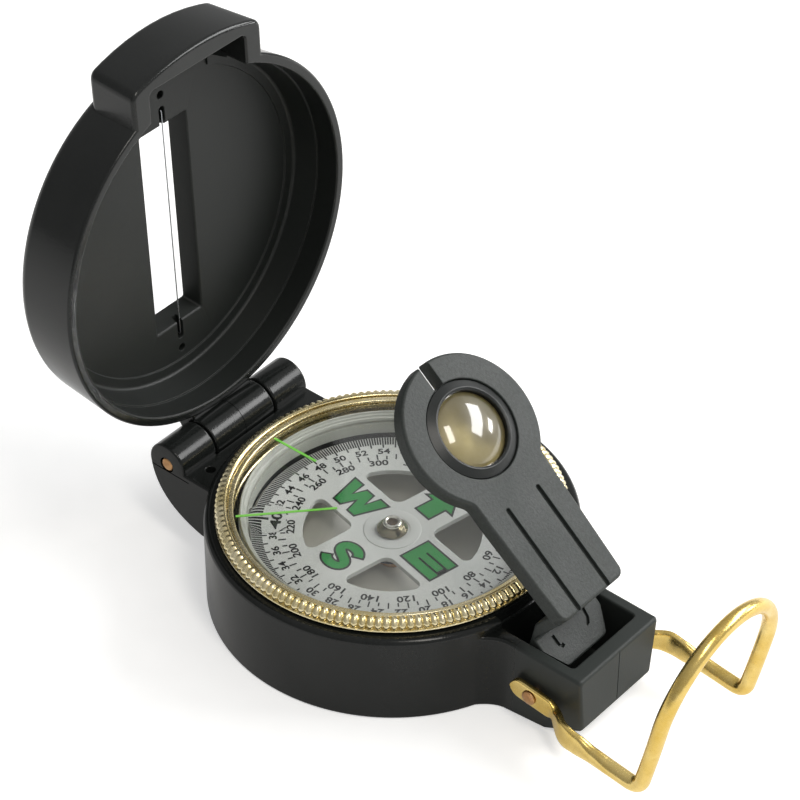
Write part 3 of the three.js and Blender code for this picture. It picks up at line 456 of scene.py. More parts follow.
# green printing ink: flat leaf green
greenInk = mouldedPlastic("printed green ink", dict(
    dark="#077a2c", light="#0e8a36", fleckColour="#1f9e4b", roughness=(0.45, 0.6)))
# lime fluorescent paint of the sighting lines: flat and fresh
limePaint = mouldedPlastic("painted lime enamel", dict(
    dark="#6cc43e", light="#86d65c", fleckColour="#a6e886", grain=0.2, patch=3.0, roughness=(0.4, 0.5)))
# amber synthetic jewel in the hub: polished, deep brown
amberJewel = mouldedPlastic("polished amber jewel", dict(
    dark="#2e1f0a", light="#5a4212", fleck=0.1, fleckColour="#6e5218", grain=0.3, patch=1.0, bump=0.05,
    roughness=(0.08, 0.14), ior=1.76, specular=0.3))
# champagne anodised brass of the bezel: bright turned faces
bezelBrass = platedMetal("turned champagne brass", dict(
    dark="#dac992", light="#f3e8c4", rub=0.25, patch=6.0, bump=0.1, roughness=(0.2, 0.3)))
# gold-plated brass wire of the thumb loop: yellower, drawn smooth
loopBrass = platedMetal("plated gold brass", dict(
    dark="#dcb95c", light="#efd488", rub=0.3, patch=5.0, bump=0.1, roughness=(0.18, 0.3)))
# copper-gold rivets and pin ends: dulled by the riveting tool
rivetBrass = platedMetal("headed copper brass", dict(
    dark="#b08358", light="#d6ab7c", rub=0.25, patch=2.0, bump=0.2, roughness=(0.28, 0.42)))
# nickel plate on the hub's cone: a little rougher, and painted dark and a little yellow as the shade on the
# cone's side
hubNickel = platedMetal("nickel plate painted with shade", dict(
    dark="#7d7660", light="#9a937c", rub=0.2, patch=2.0, bump=0.1, roughness=(0.14, 0.24)))
# the same plate polished bright on the ring round the jewel
ringNickel = platedMetal("polished nickel plate", dict(
    dark="#dad7cb", light="#f0eee6", rub=0.2, patch=1.0, bump=0.05, roughness=(0.12, 0.2)))
# drawn steel: pins, snap ring, needle and sight wire, smooth and grey
drawnSteel = platedMetal("drawn steel", dict(
    dark="#85888c", light="#a8abb0", rub=0.2, patch=3.0, bump=0.1, roughness=(0.25, 0.35)))
# sintered magnet: dull dark metal
sinteredMagnet = platedMetal("sintered magnet", dict(
    dark="#4c4e51", light="#606367", rub=0.15, patch=2.0, bump=0.3, roughness=(0.45, 0.6)))
# cast acrylic: crystal, capsule window and reading magnifier, clear with faint smears
clearAcrylic = clearWindow("cast clear acrylic", dict(
    dark="#fafbfa", light="#fefefe", glare="#a8a8a8", smear=7.0, roughness=(0.0, 0.03), ior=1.49,
    clear=1.0, polish=0.0))
# amber-tinted eye lens, moulded and polished: olive and hazy in its depth under a sharp polish
amberAcrylic = clearWindow("moulded amber acrylic", dict(
    dark="#8f8252", light="#9c9168", glare="#ffffff", smear=3.0, roughness=(0.3, 0.4), ior=1.49,
    clear=0.8, polish=1.0))
print("materials ready:", len(bpy.data.materials))


# case: drum, front block with its well, two hinge ears with a shelf between them
caseShape = dict(
    radius=27.6, height=15.0, foot=0.4, brow=0.9, sides=160, lip=0.35,
    cupBore=22.8, cupFloor=3.0, skirtBore=25.1, skirtFloor=12.6, snapBore=25.8, snapLow=13.7, snapHigh=14.4,
    blockHalf=9.0, blockTuck=1.3, blockRoot=29.2, blockReach=41.8, blockHeight=13.2, blockNose=3.1,
    blockHeel=35.4, blockEdge=0.55, lowRound=0.4, topRound=0.5, flareStart=(13.6, 23.4), flarePull=26.3,
    wellHalf=7.1, wellFront=39.1, wellBack=26.5, wellFloor=2.2, wellCorner=0.6,
    earRoot=22.5, earInner=6.6, earOuter=13.7, earTop=14.3, earFoot=(25.9, 4.1), earBelly=(35.3, 6.5),
    barrel=3.5, earEdge=0.4, pinBore=1.3, shelfHalf=6.9, shelfGap=0.3,
    eyelet=(-10, 27), eyeletRadius=0.75, eyeletFloor=13.1,
    partings=[  # fine lines down the front face and across the ears' ends
        ((-0.07, -42, 3.0), (0.07, -41.7, 13.0)), ((-14, 28.0, 13.3), (-13.58, 36.2, 13.5)),
        ((13.58, 28.0, 13.3), (14, 36.2, 13.5))])


def frontBlock(s):
    # cross sections from inside the drum out to the front face: half width, reach, rounding
    half, edge = s.blockHalf, s.blockEdge
    flare = bow(s.flareStart, (half, s.flarePull), (half, s.blockRoot), 8)
    stations = [(wide, reach, 0) for wide, reach in flare] + [(half, s.blockHeel, 0)]
    stations += [(half, s.blockReach - edge * a, edge * b) for a, b in easing(5)]
    rings = []
    for wide, reach, shrink in stations:
        low = max(0, s.blockNose * (reach - s.blockHeel) / (s.blockReach - s.blockHeel))
        out = max(0, (reach - s.blockRoot) / (s.blockReach - s.blockRoot))
        lowHalf = wide - s.blockTuck * out * (1 - low / s.blockHeight) - shrink
        topHalf, foot, top = wide - shrink, low + shrink, s.blockHeight - shrink
        outline = rounded([
            (-lowHalf, foot, s.lowRound), (lowHalf, foot, s.lowRound), (topHalf, top, s.topRound),
            (-topHalf, top, s.topRound)])
        rings.append([(p.x, -reach, p.y) for p in outline])
    return loft(rings)


def hingeEar(s, side):
    low, high = sorted((side * s.earInner, side * s.earOuter))
    belly = bow(s.earFoot, s.earBelly, (hingeY + s.barrel, hingeZ), 14)
    back = [(hingeY + 1, s.earTop), (s.earRoot, s.earTop, 0.3)]
    outline = rounded([(s.earRoot, s.earFoot[1])] + belly + back)
    web = shifted(plate(outline, low, high, s.earEdge, s.earEdge), alongX)
    return web, rodAcross(s.barrel, low, high, s.earEdge, 72, hingeY, hingeZ)


def hingeShelf(s):
    # closes the space under the knuckle, hollowed to clear it
    hollow = arc(hingeY, hingeZ, s.barrel + s.shelfGap, 240, 184, 10)
    outline = rounded([(s.earRoot, s.earFoot[1]), s.earFoot] + hollow + [(s.earRoot, s.earTop)])
    return shifted(plate(outline, -s.shelfHalf, s.shelfHalf, 0, 0, 1), alongX)


def caseBore(s):
    # room for the cup, then for the bezel's skirt and its snap ring
    cup, skirt, snap, mouth = s.cupBore, s.skirtBore, s.snapBore, s.skirtBore + s.lip
    steps = [
        (0, s.cupFloor), (cup, s.cupFloor), (cup, s.skirtFloor), (skirt, s.skirtFloor),
        (skirt, s.snapLow), (snap, s.snapLow), (snap, s.snapHigh), (skirt, s.snapHigh)]
    lip = arc(mouth, s.height - s.lip, s.lip, 180, 90, 4)
    return turned(steps + lip + [(mouth, s.height + 2), (0, s.height + 2)], s.sides)


def makeCase(s):
    radius, height, past = s.radius, s.height, s.earOuter + 0.8
    drum = rounded([(0, 0), (radius, 0, s.foot), (radius, height, s.brow), (0, height)], 6)
    forms = [frontBlock(s), hingeShelf(s), *hingeEar(s, -1), *hingeEar(s, 1)]
    body = combine(turned(drum, s.sides), forms, "UNION")
    half, front = s.wellHalf, -s.wellFront
    spread = math.degrees(math.asin(half / s.wellBack))  # the well's back follows the drum
    back = arc(0, 0, s.wellBack, 270 + spread, 270 - spread, 10)
    well = rounded([(-half, front, s.wellCorner), (half, front, s.wellCorner)] + back)
    tools = [
        caseBore(s),
        pocket(well, s.wellFloor, s.blockHeight, s.lip, 3.0),
        pocket(circle(s.eyeletRadius, 24, *s.eyelet), s.eyeletFloor, s.earTop, 0.15),
        rodAcross(s.pinBore, -past, past, 0.1, 32, hingeY, hingeZ)]
    tools += [block(low, high) for low, high in s.partings]
    return combine(body, tools, "DIFFERENCE")


makePiece("case_body", makeCase(named(caseShape)), caseAbs, "black_plastic", "base", ["base_case"])
print("case made")


# capsule under the crystal: cup, gasket whose black sleeve down to the dial's edge is painted shade, its own
# window, a liner and a stepped collar round it
capsuleShape = dict(
    radius=22.5, bore=21.6, bottom=3.3, floor=5.3, rim=12.9, sides=128, windowLow=13.45, windowHigh=13.95,
    # the gasket ring at the top is real; its sleeve down the cup wall to z 10.2 is a black sheet standing in
    # for the shade in the gap round the dial
    gasket=[
        (21.3, 10.2, 0.1), (21.57, 10.2, 0.1), (21.57, 13.0), (22.5, 13.0, 0.1), (22.5, 13.25, 0.1),
        (21.3, 13.25, 0.1)],
    liner=[
        (21.1, 11.55, 0.05), (21.28, 11.55, 0.05), (21.28, 13.28), (22.45, 13.28, 0.05), (22.45, 13.42, 0.05),
        (21.2, 13.42, 0.03), (21.16, 12.6, 0.03)],
    collar=[
        (21.3, 14.02, 0.05), (22.3, 14.02, 0.05), (22.3, 15.3, 0.1), (22.05, 15.3, 0.1), (21.95, 14.95, 0.05),
        (21.7, 14.9, 0.05), (21.63, 14.6, 0.05), (21.45, 14.5, 0.05)])


def makeCapsule(s):
    radius, bore, sides, low, high = s.radius, s.bore, s.sides, s.windowLow, s.windowHigh
    cup = [
        (0, s.bottom), (radius, s.bottom, 0.4), (radius, s.rim, 0.15), (bore, s.rim, 0.2),
        (bore, s.floor, 1.2), (0, s.floor)]
    window = [(0, low), (radius, low, 0.12), (radius, high, 0.12), (0, high)]
    turnedPiece("capsule_shell", cup, 5, sides, cupPlastic, "capsule_plastic", "base", ["capsule_cup"])
    turnedPiece("capsule_seal_and_shade_sleeve", s.gasket, 3, sides, gasketRubber, "gasket_rubber", "base", ["capsule_gasket"])
    turnedPiece("capsule_liner", s.liner, 3, sides, collarPlastic, "capsule_plastic", "base")
    turnedPiece("capsule_window", window, 3, sides, clearAcrylic, "capsule_glass", "base", ["capsule_glass"])
    turnedPiece("capsule_collar", s.collar, 3, sides, collarPlastic, "capsule_plastic", "base")


makeCapsule(named(capsuleShape))
print("capsule made")


# dial card with four fan windows and a low boss in the middle
dialShape = dict(
    radius=20.8, top=10.9, thickness=0.8, edge=0.06, bore=1.6, spokeHalf=3.9, windowOuter=13.2,
    windowCorner=1.5, boss=[(2.6, 10.9), (4.25, 10.9), (4.25, 11.0, 0.06), (2.6, 11.0, 0.06)])


def curveBody(curve, place, into=None):
    # a curve or a text turned into a mesh body
    holder = addObject("curve", curve)
    bpy.context.view_layer.update()
    shown = holder.evaluated_get(bpy.context.evaluated_depsgraph_get())
    mesh = bpy.data.meshes.new_from_object(shown)
    mesh.transform(place)
    body = into if into is not None else bmesh.new()
    body.from_mesh(mesh)
    bpy.data.objects.remove(holder)
    bpy.data.curves.remove(curve)
    bpy.data.meshes.remove(mesh)
    return body


def dialCard(s):
    outlines = [circle(s.radius - s.edge, 180), circle(s.bore + s.edge, 40)]
    half = 45 - math.degrees(math.asin(s.spokeHalf / s.windowOuter))
    for middle in (45, 135, 225, 315):
        apex = arc(0, 0, s.spokeHalf * math.sqrt(2), middle, middle, 1)[0]
        rim = arc(0, 0, s.windowOuter, middle - half, middle + half, 12)
        corner = (s.windowCorner,)
        corners = [apex + corner, rim[0] + corner] + rim[3:-3] + [rim[-1] + corner]
        outlines.append(inset(rounded(corners, 6), -s.edge))
    sheet = bpy.data.curves.new("card", "CURVE")
    sheet.dimensions = "2D"
    sheet.fill_mode = "BOTH"
    sheet.extrude = s.thickness / 2 - s.edge
    sheet.bevel_depth = s.edge
    sheet.bevel_resolution = 2
    for outline in outlines:
        spline = sheet.splines.new("POLY")
        spline.points.add(len(outline) - 1)
        for point, place in zip(spline.points, outline):
            point.co = (place.x, place.y, 0, 1)
        spline.use_cyclic_u = True
    return curveBody(sheet, Matrix.Translation((0, 0, s.top - s.thickness / 2)))


makePiece("dial_plate", dialCard(named(dialShape)), dialEnamel, "dial_paint", "dial", ["dial_card"], dialPlace)
turnedPiece("dial_boss", dialShape["boss"], 3, 96, dialEnamel, "dial_paint", "dial", (), dialPlace)

# print on the card: letters stand upright to north, numbers stand outward
printShape = dict(
    low=10.9, ink=10.93, colour=10.95, degreeRadius=14.86, degreeSize=1.65, milRadius=17.5, milSize=1.6,
    bold=0.04, wide=1.2, degreeTicks=(15.7, 16.45, 16.85), milTicks=(19.1, 18.4, 20.7), degreeTickWidth=0.22,
    milTickWidth=0.23, border=0.33, stroke=0.68,
    places=[(-8.3, 0), (8.6, 0), (0, 0), (0, -9.2)])  # W, E, arrow and S, east and north of the centre


def printFlat(body, outline, low, high):
    lower = [body.verts.new((p[0], p[1], low)) for p in outline]
    upper = [body.verts.new((p[0], p[1], high)) for p in outline]
    sides = [(lower[k - 1], lower[k], upper[k], upper[k - 1]) for k in range(len(outline))]
    for corners in [lower, upper] + sides:
        body.faces.new(corners)


def printTick(body, turn, inner, outer, width, s):
    along = Vector((math.cos(turn), math.sin(turn)))
    across = Vector((-along.y, along.x)) * width / 2
    corners = [along * inner - across, along * outer - across, along * outer + across, along * inner + across]
    printFlat(body, corners, s.low, s.ink)


def printNumber(body, text, turn, radius, size, s):
    letters = bpy.data.curves.new("number", "FONT")
    letters.body = text
    letters.size = size
    letters.offset = s.bold
    letters.resolution_u = 3
    letters.extrude = (s.ink - s.low) / 2
    letters.align_x = "CENTER"
    letters.align_y = "CENTER"
    outward = Matrix.Translation((0, radius, (s.low + s.ink) / 2))
    spot = Matrix.Rotation(turn - math.pi / 2, 4, "Z") @ outward
    curveBody(letters, spot @ Matrix.Diagonal((s.wide, 1, 1, 1)), body)


def ribbon(path, half):
    # a band of even width along a path
    left, right = [], []
    for k, point in enumerate(path):
        along = (path[min(k + 1, len(path) - 1)] - path[max(k - 1, 0)]).normalized()
        across = Vector((-along.y, along.x)) * half
        left.append(point + across)
        right.append(point - across)
    return left + right[::-1]


def letterShapes(border, stroke):
    # outlines of W, E, the north arrow and S in letter axes, each with a border round it
    wPoints = [
        (-2.35, -2.5), (-0.95, -2.5), (0.0, 0.1), (0.95, -2.5), (2.35, -2.5), (3.9, 2.5), (2.2, 2.5),
        (1.55, -0.2), (0.7, 2.2), (-0.7, 2.2), (-1.55, -0.2), (-2.2, 2.5), (-3.9, 2.5)]
    ePoints = [
        (-3.2, -2.4), (3.2, -2.4), (3.2, -0.95), (-1.45, -0.95), (-1.45, -0.6), (2.6, -0.6), (2.6, 0.6),
        (-1.45, 0.6), (-1.45, 0.95), (3.2, 0.95), (3.2, 2.4), (-3.2, 2.4)]
    arrowPoints = [(-1.4, 5.7), (1.4, 5.7), (1.4, 8.9), (2.7, 8.9), (0, 12.2), (-2.7, 8.9), (-1.4, 8.9)]
    top = [(0.1 + 1.65 * x, 1.22 + 1.1 * y) for x, y in arc(0, 0, 1, 15, 240, 15)]
    bottom = [(-0.1 + 1.65 * x, -1.22 + 1.1 * y) for x, y in arc(0, 0, 1, 65, -160, 15)]
    sPath = [Vector(p) for p in top + bottom]
    first = sPath[0] + (sPath[0] - sPath[1]).normalized() * border
    final = sPath[-1] + (sPath[-1] - sPath[-2]).normalized() * border
    flats = (wPoints, ePoints, arrowPoints)
    shapes = [([Vector(p) for p in points], inset(points, -border)) for points in flats]
    return shapes + [(ribbon(sPath, stroke), ribbon([first] + sPath[1:-1] + [final], stroke + border))]


def makePrint(s):
    ink, colour = bmesh.new(), bmesh.new()
    for degrees in range(0, 360, 5):
        end = s.degreeTicks[2 if degrees % 10 == 0 else 1]
        printTick(ink, -math.radians(degrees), s.degreeTicks[0], end, s.degreeTickWidth, s)
    for step in range(320):
        start = s.milTicks[1 if step % 5 == 0 else 0]
        printTick(ink, -2 * math.pi * step / 320, start, s.milTicks[2], s.milTickWidth, s)
    for degrees in range(20, 361, 20):
        printNumber(ink, str(degrees), -math.radians(degrees), s.degreeRadius, s.degreeSize, s)
    for mils in range(2, 65, 2):
        printNumber(ink, str(mils), -2 * math.pi * mils / 64, s.milRadius, s.milSize, s)
    for (shape, outer), (east, north) in zip(letterShapes(s.border, s.stroke), s.places):
        printFlat(ink, [(p.y + north, -p.x - east) for p in outer], s.low, s.ink)
        printFlat(colour, [(p.y + north, -p.x - east) for p in shape], s.low, s.colour)
    for body in (ink, colour):
        bmesh.ops.recalc_face_normals(body, faces=body.faces)
    return ink, colour


inkBody, colourBody = makePrint(named(printShape))
makePiece("dial_scale_print", inkBody, blackInk, "dial_paint", "dial", (), dialPlace)
makePiece("dial_letter_print", colourBody, greenInk, "lime_paint", "dial", (), dialPlace)

# hub: a cone whose nickel is painted dark as shade, with a bright ring on top, the jewel shows in its hole
hubShape = dict(
    cone=[(1.2, 11.0, 0.03), (2.3, 11.0, 0.1), (2.3, 11.3, 0.15), (1.7, 12.0, 0.2), (1.2, 12.0, 0.03)],
    ring=[(0.8, 12.02, 0.04), (1.42, 12.02, 0.04), (1.42, 12.6, 0.28), (0.8, 12.6, 0.28)])
turnedPiece("dial_hub_cap", hubShape["cone"], 5, 64, hubNickel, "nickel", "dial", ["dial_hub"], dialPlace)
turnedPiece("dial_hub_ring", hubShape["ring"], 6, 64, ringNickel, "nickel", "dial", (), dialPlace)
print("dial made")


# bezel: plain flange on a skirt in the case, ribbed crown, throat with steps down to the crystal and its ring
bezelShape = dict(
    ribs=140, samples=6, ribDepth=0.4, ribInner=24.65, ribRise=1.2, ribIn=1.2, ribDown=0.7, flangeTop=15.65,
    sides=160, skirt=[
        (23.3, 12.9, 0.1), (24.8, 12.9, 0.1), (24.8, 13.5, 0.1), (24.2, 13.5, 0.05), (24.2, 15.3, 0.05),
        (26.0, 15.3, 0.2), (26.0, 15.65, 0.25), (25.45, 15.65, 0.03)],
    crown=[
        (25.8, 15.7), (25.92, 15.9), (25.92, 16.3), (25.84, 16.52), (25.58, 16.82), (25.28, 17.09),
        (25.0, 17.24), (24.7, 17.29)],
    throat=[
        (24.62, 17.29), (24.58, 17.3, 0.05), (24.42, 17.3, 0.1), (24.37, 17.0, 0.08), (24.25, 16.95, 0.08),
        (24.25, 15.7, 0.05), (23.3, 15.7, 0.12), (23.3, 14.6, 0.1), (23.55, 14.5, 0.1), (23.55, 13.7, 0.1),
        (23.3, 13.6, 0.1)],
    keeper=[(23.2, 16.4, 0.08), (23.95, 16.4, 0.08), (23.95, 16.85, 0.12), (23.2, 16.7, 0.15)],
    crystal=[(0, 15.8), (23.95, 15.8, 0.1), (23.95, 16.3, 0.1), (0, 16.3)])


def makeBezel(s):
    def ribAt(turn, radius, height):
        if height < s.flangeTop + 0.02 or radius < s.ribInner:
            return radius, height
        valley = s.ribDepth * (1 - abs(math.cos(turn * s.ribs / 2)) ** 0.8)
        slope = min(1, (height - s.flangeTop) / s.ribRise)  # valleys sink in at the side, down at the top
        return radius - valley * (s.ribIn - s.ribDown * slope), height - valley * s.ribDown * slope

    profile = rounded(s.skirt + s.crown + s.throat, 2)
    crown = turned(profile, s.ribs * s.samples, ribAt)
    makePiece("bezel_crown", crown, bezelBrass, "gold_brass", "bezel", ["bezel_ring"])
    turnedPiece("crystal_keeper", s.keeper, 4, s.sides, bezelBrass, "gold_brass", "bezel", ["crystal_ring"])
    turnedPiece("crystal_disc", s.crystal, 3, s.sides, clearAcrylic, "crystal", "bezel", ["bezel_crystal"])


makeBezel(named(bezelShape))

# reading magnifier: a pillow of acrylic under the crystal, on the long line
magnifierShape = dict(
    foot=15.2, edge=0.05, crown=0.28, half=(2.8, 3.1), pinch=0.3, reach=18.3, turn=137.7, steps=24)


def makeMagnifier(s):
    body = bmesh.new()
    last = s.steps
    shares = [2 * k / last - 1 for k in range(last + 1)]
    flat, bowed = {}, {}
    for i, u in enumerate(shares):
        for j, v in enumerate(shares):
            x = u * s.half[0] * math.sqrt(1 - s.pinch * v * v)  # square plan with round corners
            y = v * s.half[1] * math.sqrt(1 - s.pinch * u * u)
            flat[i, j] = body.verts.new((x, y, s.foot))
            bowed[i, j] = body.verts.new((x, y, s.foot + s.edge + s.crown * (1 - u * u) * (1 - v * v)))
    for i in range(last):
        for j in range(last):
            for sheet in (flat, bowed):
                body.faces.new((sheet[i, j], sheet[i + 1, j], sheet[i + 1, j + 1], sheet[i, j + 1]))
    border = [(i, 0) for i in range(last)] + [(last, j) for j in range(last)]
    border += [(i, last) for i in range(last, 0, -1)] + [(0, j) for j in range(last, 0, -1)]
    for a, b in zip(border, border[1:] + border[:1]):
        body.faces.new((flat[a], flat[b], bowed[b], bowed[a]))
    bmesh.ops.recalc_face_normals(body, faces=body.faces)
    return shifted(body, Matrix.Rotation(math.radians(s.turn), 4, "Z") @ Matrix.Translation((s.reach, 0, 0)))


pillow = makeMagnifier(named(magnifierShape))
makePiece("reading_pillow", pillow, clearAcrylic, "crystal", "bezel", ["reading_magnifier"], None, 50)
print("bezel made")


# cover, shaped closed and then opened on its hinge
coverShape = dict(
    rim=15.3, rimRadius=29.0, rimRound=0.45, rimLip=0.35, top=26.68, topRadius=27.9, topRound=2.0, sides=160,
    bore=27.4, ledge=27.1, ledgeHeight=19.2, inside=23.5,
    roof=[(26.3, 23.2, 0.6), (24.6, 23.2, 0.06), (24.5, 23.5, 0.06)],
    visorHalf=13.0, visorTop=25.0, visorTopHalf=12.1, visorRoot=20, visorCorner=31.5, visorReach=33.7,
    visorRound=1.7, visorEdges=(0.7, 1.2), pocketHalf=9.6, pocketReach=30.5,
    slotHalf=5.0, slotFront=17.5, slotBack=18.3, slotCorner=0.35, sideDraft=1.3, endDraft=1.9, lip=0.3,
    knuckle=3.5, knuckleHalf=6.3, webTop=21.5, webFoot=16.2, pinBore=1.3, partingRadius=3.42, partingHalf=0.06,
    # seats of the sight wire: both ends and their roundings
    seatHalf=0.55, seatFloor=24.8, seats=[(-20.2, -16.6, 0.5, 0.2), (17.2, 21.0, 0.2, 0.5)],
    dimple=0.62, dimpleFloor=24.6, dimples=(-22.2, 22.8))


def visorBody(s):
    half, corner, rim = s.visorHalf, s.visorCorner, s.rim
    front = bow((-half, -corner), (0, corner - 2 * s.visorReach), (half, -corner), 10)
    ends = [front[k] + (s.visorRound,) for k in (0, -1)]
    corners = [(-half, -s.visorRoot), ends[0]] + front[1:-1] + [ends[1], (half, -s.visorRoot)]

    def taper(z):
        return 1 + (s.visorTopHalf / half - 1) * (z - rim) / (s.visorTop - rim)

    return plate(rounded(corners), rim, s.visorTop, *s.visorEdges, 5, taper)


def coverHollow(s):
    bore, ledge, mouth = s.bore, s.ledgeHeight, s.bore + s.rimLip
    lip = arc(mouth, s.rim + s.rimLip, s.rimLip, 270, 180, 4)
    wall = rounded([lip[-1], (bore, ledge, 0.08), (s.ledge, ledge, 0.08), *s.roof, (0, s.inside)], 4)
    return turned([(0, 14), (mouth, 14)] + lip + [tuple(p) for p in wall[1:]], s.sides)


def sightSlot(s):
    lip, inside, top = s.lip, s.inside, s.top
    levels = [(inside - 1, lip)]
    levels += [(inside + lip * b, lip * a) for a, b in easing(4)]
    levels += [(top - lip * a, lip * b) for a, b in easing(4)] + [(top + 1, lip)]
    rings = []
    for z, grow in levels:
        depth = (z - inside + 1) / (top - inside + 2)
        half = s.slotHalf - s.sideDraft * depth + grow
        front = s.slotFront - s.endDraft * depth + grow
        back = s.slotBack - s.endDraft * depth + grow
        outline = oblong(-half, half, -front, back, s.slotCorner, s.slotCorner, 3)
        rings.append([(p.x, p.y, z) for p in outline])
    return loft(rings)


def makeCover(s):
    rim, top, inside, bore, half, past = s.rim, s.top, s.inside, s.bore, s.knuckleHalf, s.knuckleHalf + 1.2
    shell = rounded([
        (0, rim), (s.rimRadius, rim, s.rimRound), (s.topRadius, top, s.topRound), (0, top)], 7)
    webOutline = rounded([
        (hingeY, hingeZ), (hingeY, hingeZ + s.knuckle, 0.2), (bore, s.webTop, 0.2), (bore, s.webFoot, 0.2)])
    web = shifted(plate(webOutline, -half, half, 0.35, 0.35), alongX)
    knuckle = rodAcross(s.knuckle, -half, half, 0.3, 72, hingeY, hingeZ)
    body = combine(turned(shell, s.sides), [visorBody(s), web, knuckle], "UNION")
    wide, thick = s.pocketHalf, s.seatHalf
    mouth = oblong(-wide, wide, -s.pocketReach, -s.visorRoot, 0.8, 0.3)
    groove, thin, clear = s.partingRadius, s.partingHalf, s.knuckle + 0.7
    parting = turned([(groove, -thin), (clear, -thin), (clear, thin), (groove, thin)], 72)  # round the knuckle
    tools = [
        coverHollow(s), pocket(mouth, inside, rim, 0.4), sightSlot(s),
        rodAcross(s.pinBore, -past, past, 0.1, 32, hingeY, hingeZ),
        shifted(parting, Matrix.Translation((0, hingeY, hingeZ)) @ alongX)]
    tools += [pocket(oblong(-thick, thick, *seat), s.seatFloor, inside, 0.12) for seat in s.seats]
    tools += [pocket(circle(s.dimple, 24, 0, y), s.dimpleFloor, inside, 0.12) for y in s.dimples]
    return combine(body, tools, "DIFFERENCE")


makePiece("cover_body", makeCover(named(coverShape)), blackAbs, "black_plastic", "cover", ["cover"], coverPlace)

# sight wire: a fine drawn wire across the slot, its ends bent into the roof
wireShape = dict(front=-19.5, back=20.3, height=23.6, leg=1.9, radius=0.1, bend=0.4)


def makeSightWire(s):
    foot = s.height + s.leg
    corners = [(s.front, foot), (s.front, s.height), (s.back, s.height), (s.back, foot)]
    path = bentPath([Vector((0, y, z)) for y, z in corners], (s.bend, s.bend), 5)
    return sweepWire(path, lambda along: (s.radius, s.radius, 2), 10)


thread = makeSightWire(named(wireShape))
makePiece("sight_thread", thread, drawnSteel, "steel", "cover", ["sight_wire"], coverPlace)

# hinge pin with eased ends
pinShape = dict(radius=1.1, half=13.7, edge=0.35)
axle = rodAcross(pinShape["radius"], -pinShape["half"], pinShape["half"], pinShape["edge"], 40, hingeY, hingeZ)
makePiece("hinge_axle", axle, rivetBrass, "gold_brass", "base", ["hinge_pin"])
print("cover made")


# lens arm: plate with a round head, a leg into the well and a finger tab
armShape = dict(
    top=10.47, thickness=2.5, end=2.6, footHalf=6.9, footRound=1.3, neck=19.5, neckHalf=7.5, head=31.7,
    headRadius=11.3, fillet=2.0, grooveX=3.3, grooveHalf=0.35, grooveDepth=0.6, grooveStart=1.5, grooveEnd=20.0,
    notchX=-0.58, notchHalf=0.93, notchDepth=4.0, legHalf=6.6, legBack=4.4, legFoot=4.2, legTop=9.4, barrel=2.2,
    pinBore=1.0, tabTop=2.0, tabThickness=1.5, tabReach=3.55, tabFrontHalf=4.2, tabShoulder=0.6, tabRound=1.3,
    bores=[(5.3, 6.97, 0), (6.1, 8.92, 0), (7.4, 9.62, 0.18)],  # radius, floor and lip of the lens's seat
    markHalf=0.26, markDepth=0.45, marks=[  # two hooked marks that the tool leaves on the tab
        [(-3.6, 1.3), (-3.6, -0.4), (-3.2, -0.75), (-2.8, -0.55)],
        [(3.5, 1.5), (3.3, 0.2), (2.8, -0.55), (2.4, -0.6)]])


def armOutline(s):
    fillet, radius, head, corner = s.fillet, s.headRadius, s.head, s.footRound
    x = s.neckHalf + fillet
    y = head - math.sqrt((radius + fillet) ** 2 - x ** 2)
    meet = math.degrees(math.atan2(y - head, x))
    foot, neck = s.footHalf, s.neckHalf
    lower = rounded([(-foot, s.end, corner), (foot, s.end, corner), (neck, s.neck), (-neck, s.neck)])
    right = arc(x, y, fillet, 180, 180 + meet, 6)
    crown = arc(0, head, radius, meet, 180 - meet, 72)[1:-1]
    left = [(-px, py) for px, py in right[::-1]]
    return lower[:-1] + [Vector(p) for p in right + crown + left] + [lower[-1]]


def armLeg(s):
    # side view of the leg, the barrel round the pin and the flat tab, then cut to the tab's plan
    half, tip, reach, top = s.legHalf, s.tabFrontHalf, -s.tabReach, s.tabTop
    tab = [(s.end, s.legTop), (s.end, top, 0.6), (reach, top, 0.35), (reach, top - s.tabThickness, 0.35)]
    back = [(s.legBack, s.legFoot, 0.5), (s.legBack, s.legTop)]
    side = rounded(tab + arc(0, 0, s.barrel, 180, 360, 12) + back, 4)
    leg = shifted(plate(side, -half, half, 0.3, 0.3), alongX)
    plan = rounded([
        (-half, 8), (-half, s.tabShoulder, 1.5), (-tip, reach, s.tabRound), (tip, reach, s.tabRound),
        (half, s.tabShoulder, 1.5), (half, 8)])
    return combine(leg, [loft([[(p.x, p.y, z) for p in plan] for z in (-4, 12)])], "INTERSECT")


def makeArm(s):
    low, top, head, half = s.top - s.thickness, s.top, s.head, s.grooveHalf
    body = combine(plate(armOutline(s), low, top, 0.35, 0.5), [armLeg(s)], "UNION")
    tools = [rodAcross(s.pinBore, -s.neckHalf, s.neckHalf, 0.1, 32, 0, 0)]
    for x in (-s.grooveX, s.grooveX):
        groove = oblong(x - half, x + half, s.grooveStart, s.grooveEnd, 0, 0.34)
        tools.append(pocket(groove, top - s.grooveDepth, top, 0.1))
    for mark in s.marks:
        outline = ribbon([Vector(p) for p in mark], s.markHalf)
        tools.append(pocket(outline, s.tabTop - s.markDepth, s.tabTop, 0.05))
    x, half, rim = s.notchX, s.notchHalf, head + s.headRadius
    tools.append(pocket(oblong(x - half, x + half, rim - s.notchDepth, rim + 1, 0.2, 0), low - 1, top, 0.15))
    tools += [pocket(circle(radius, 96, 0, head), floor, top, lip) for radius, floor, lip in s.bores]
    return combine(body, tools, "DIFFERENCE")


makePiece("sighting_arm", makeArm(named(armShape)), armAbs, "grey_plastic", "lens_arm", ["lens_arm"], armPlace)

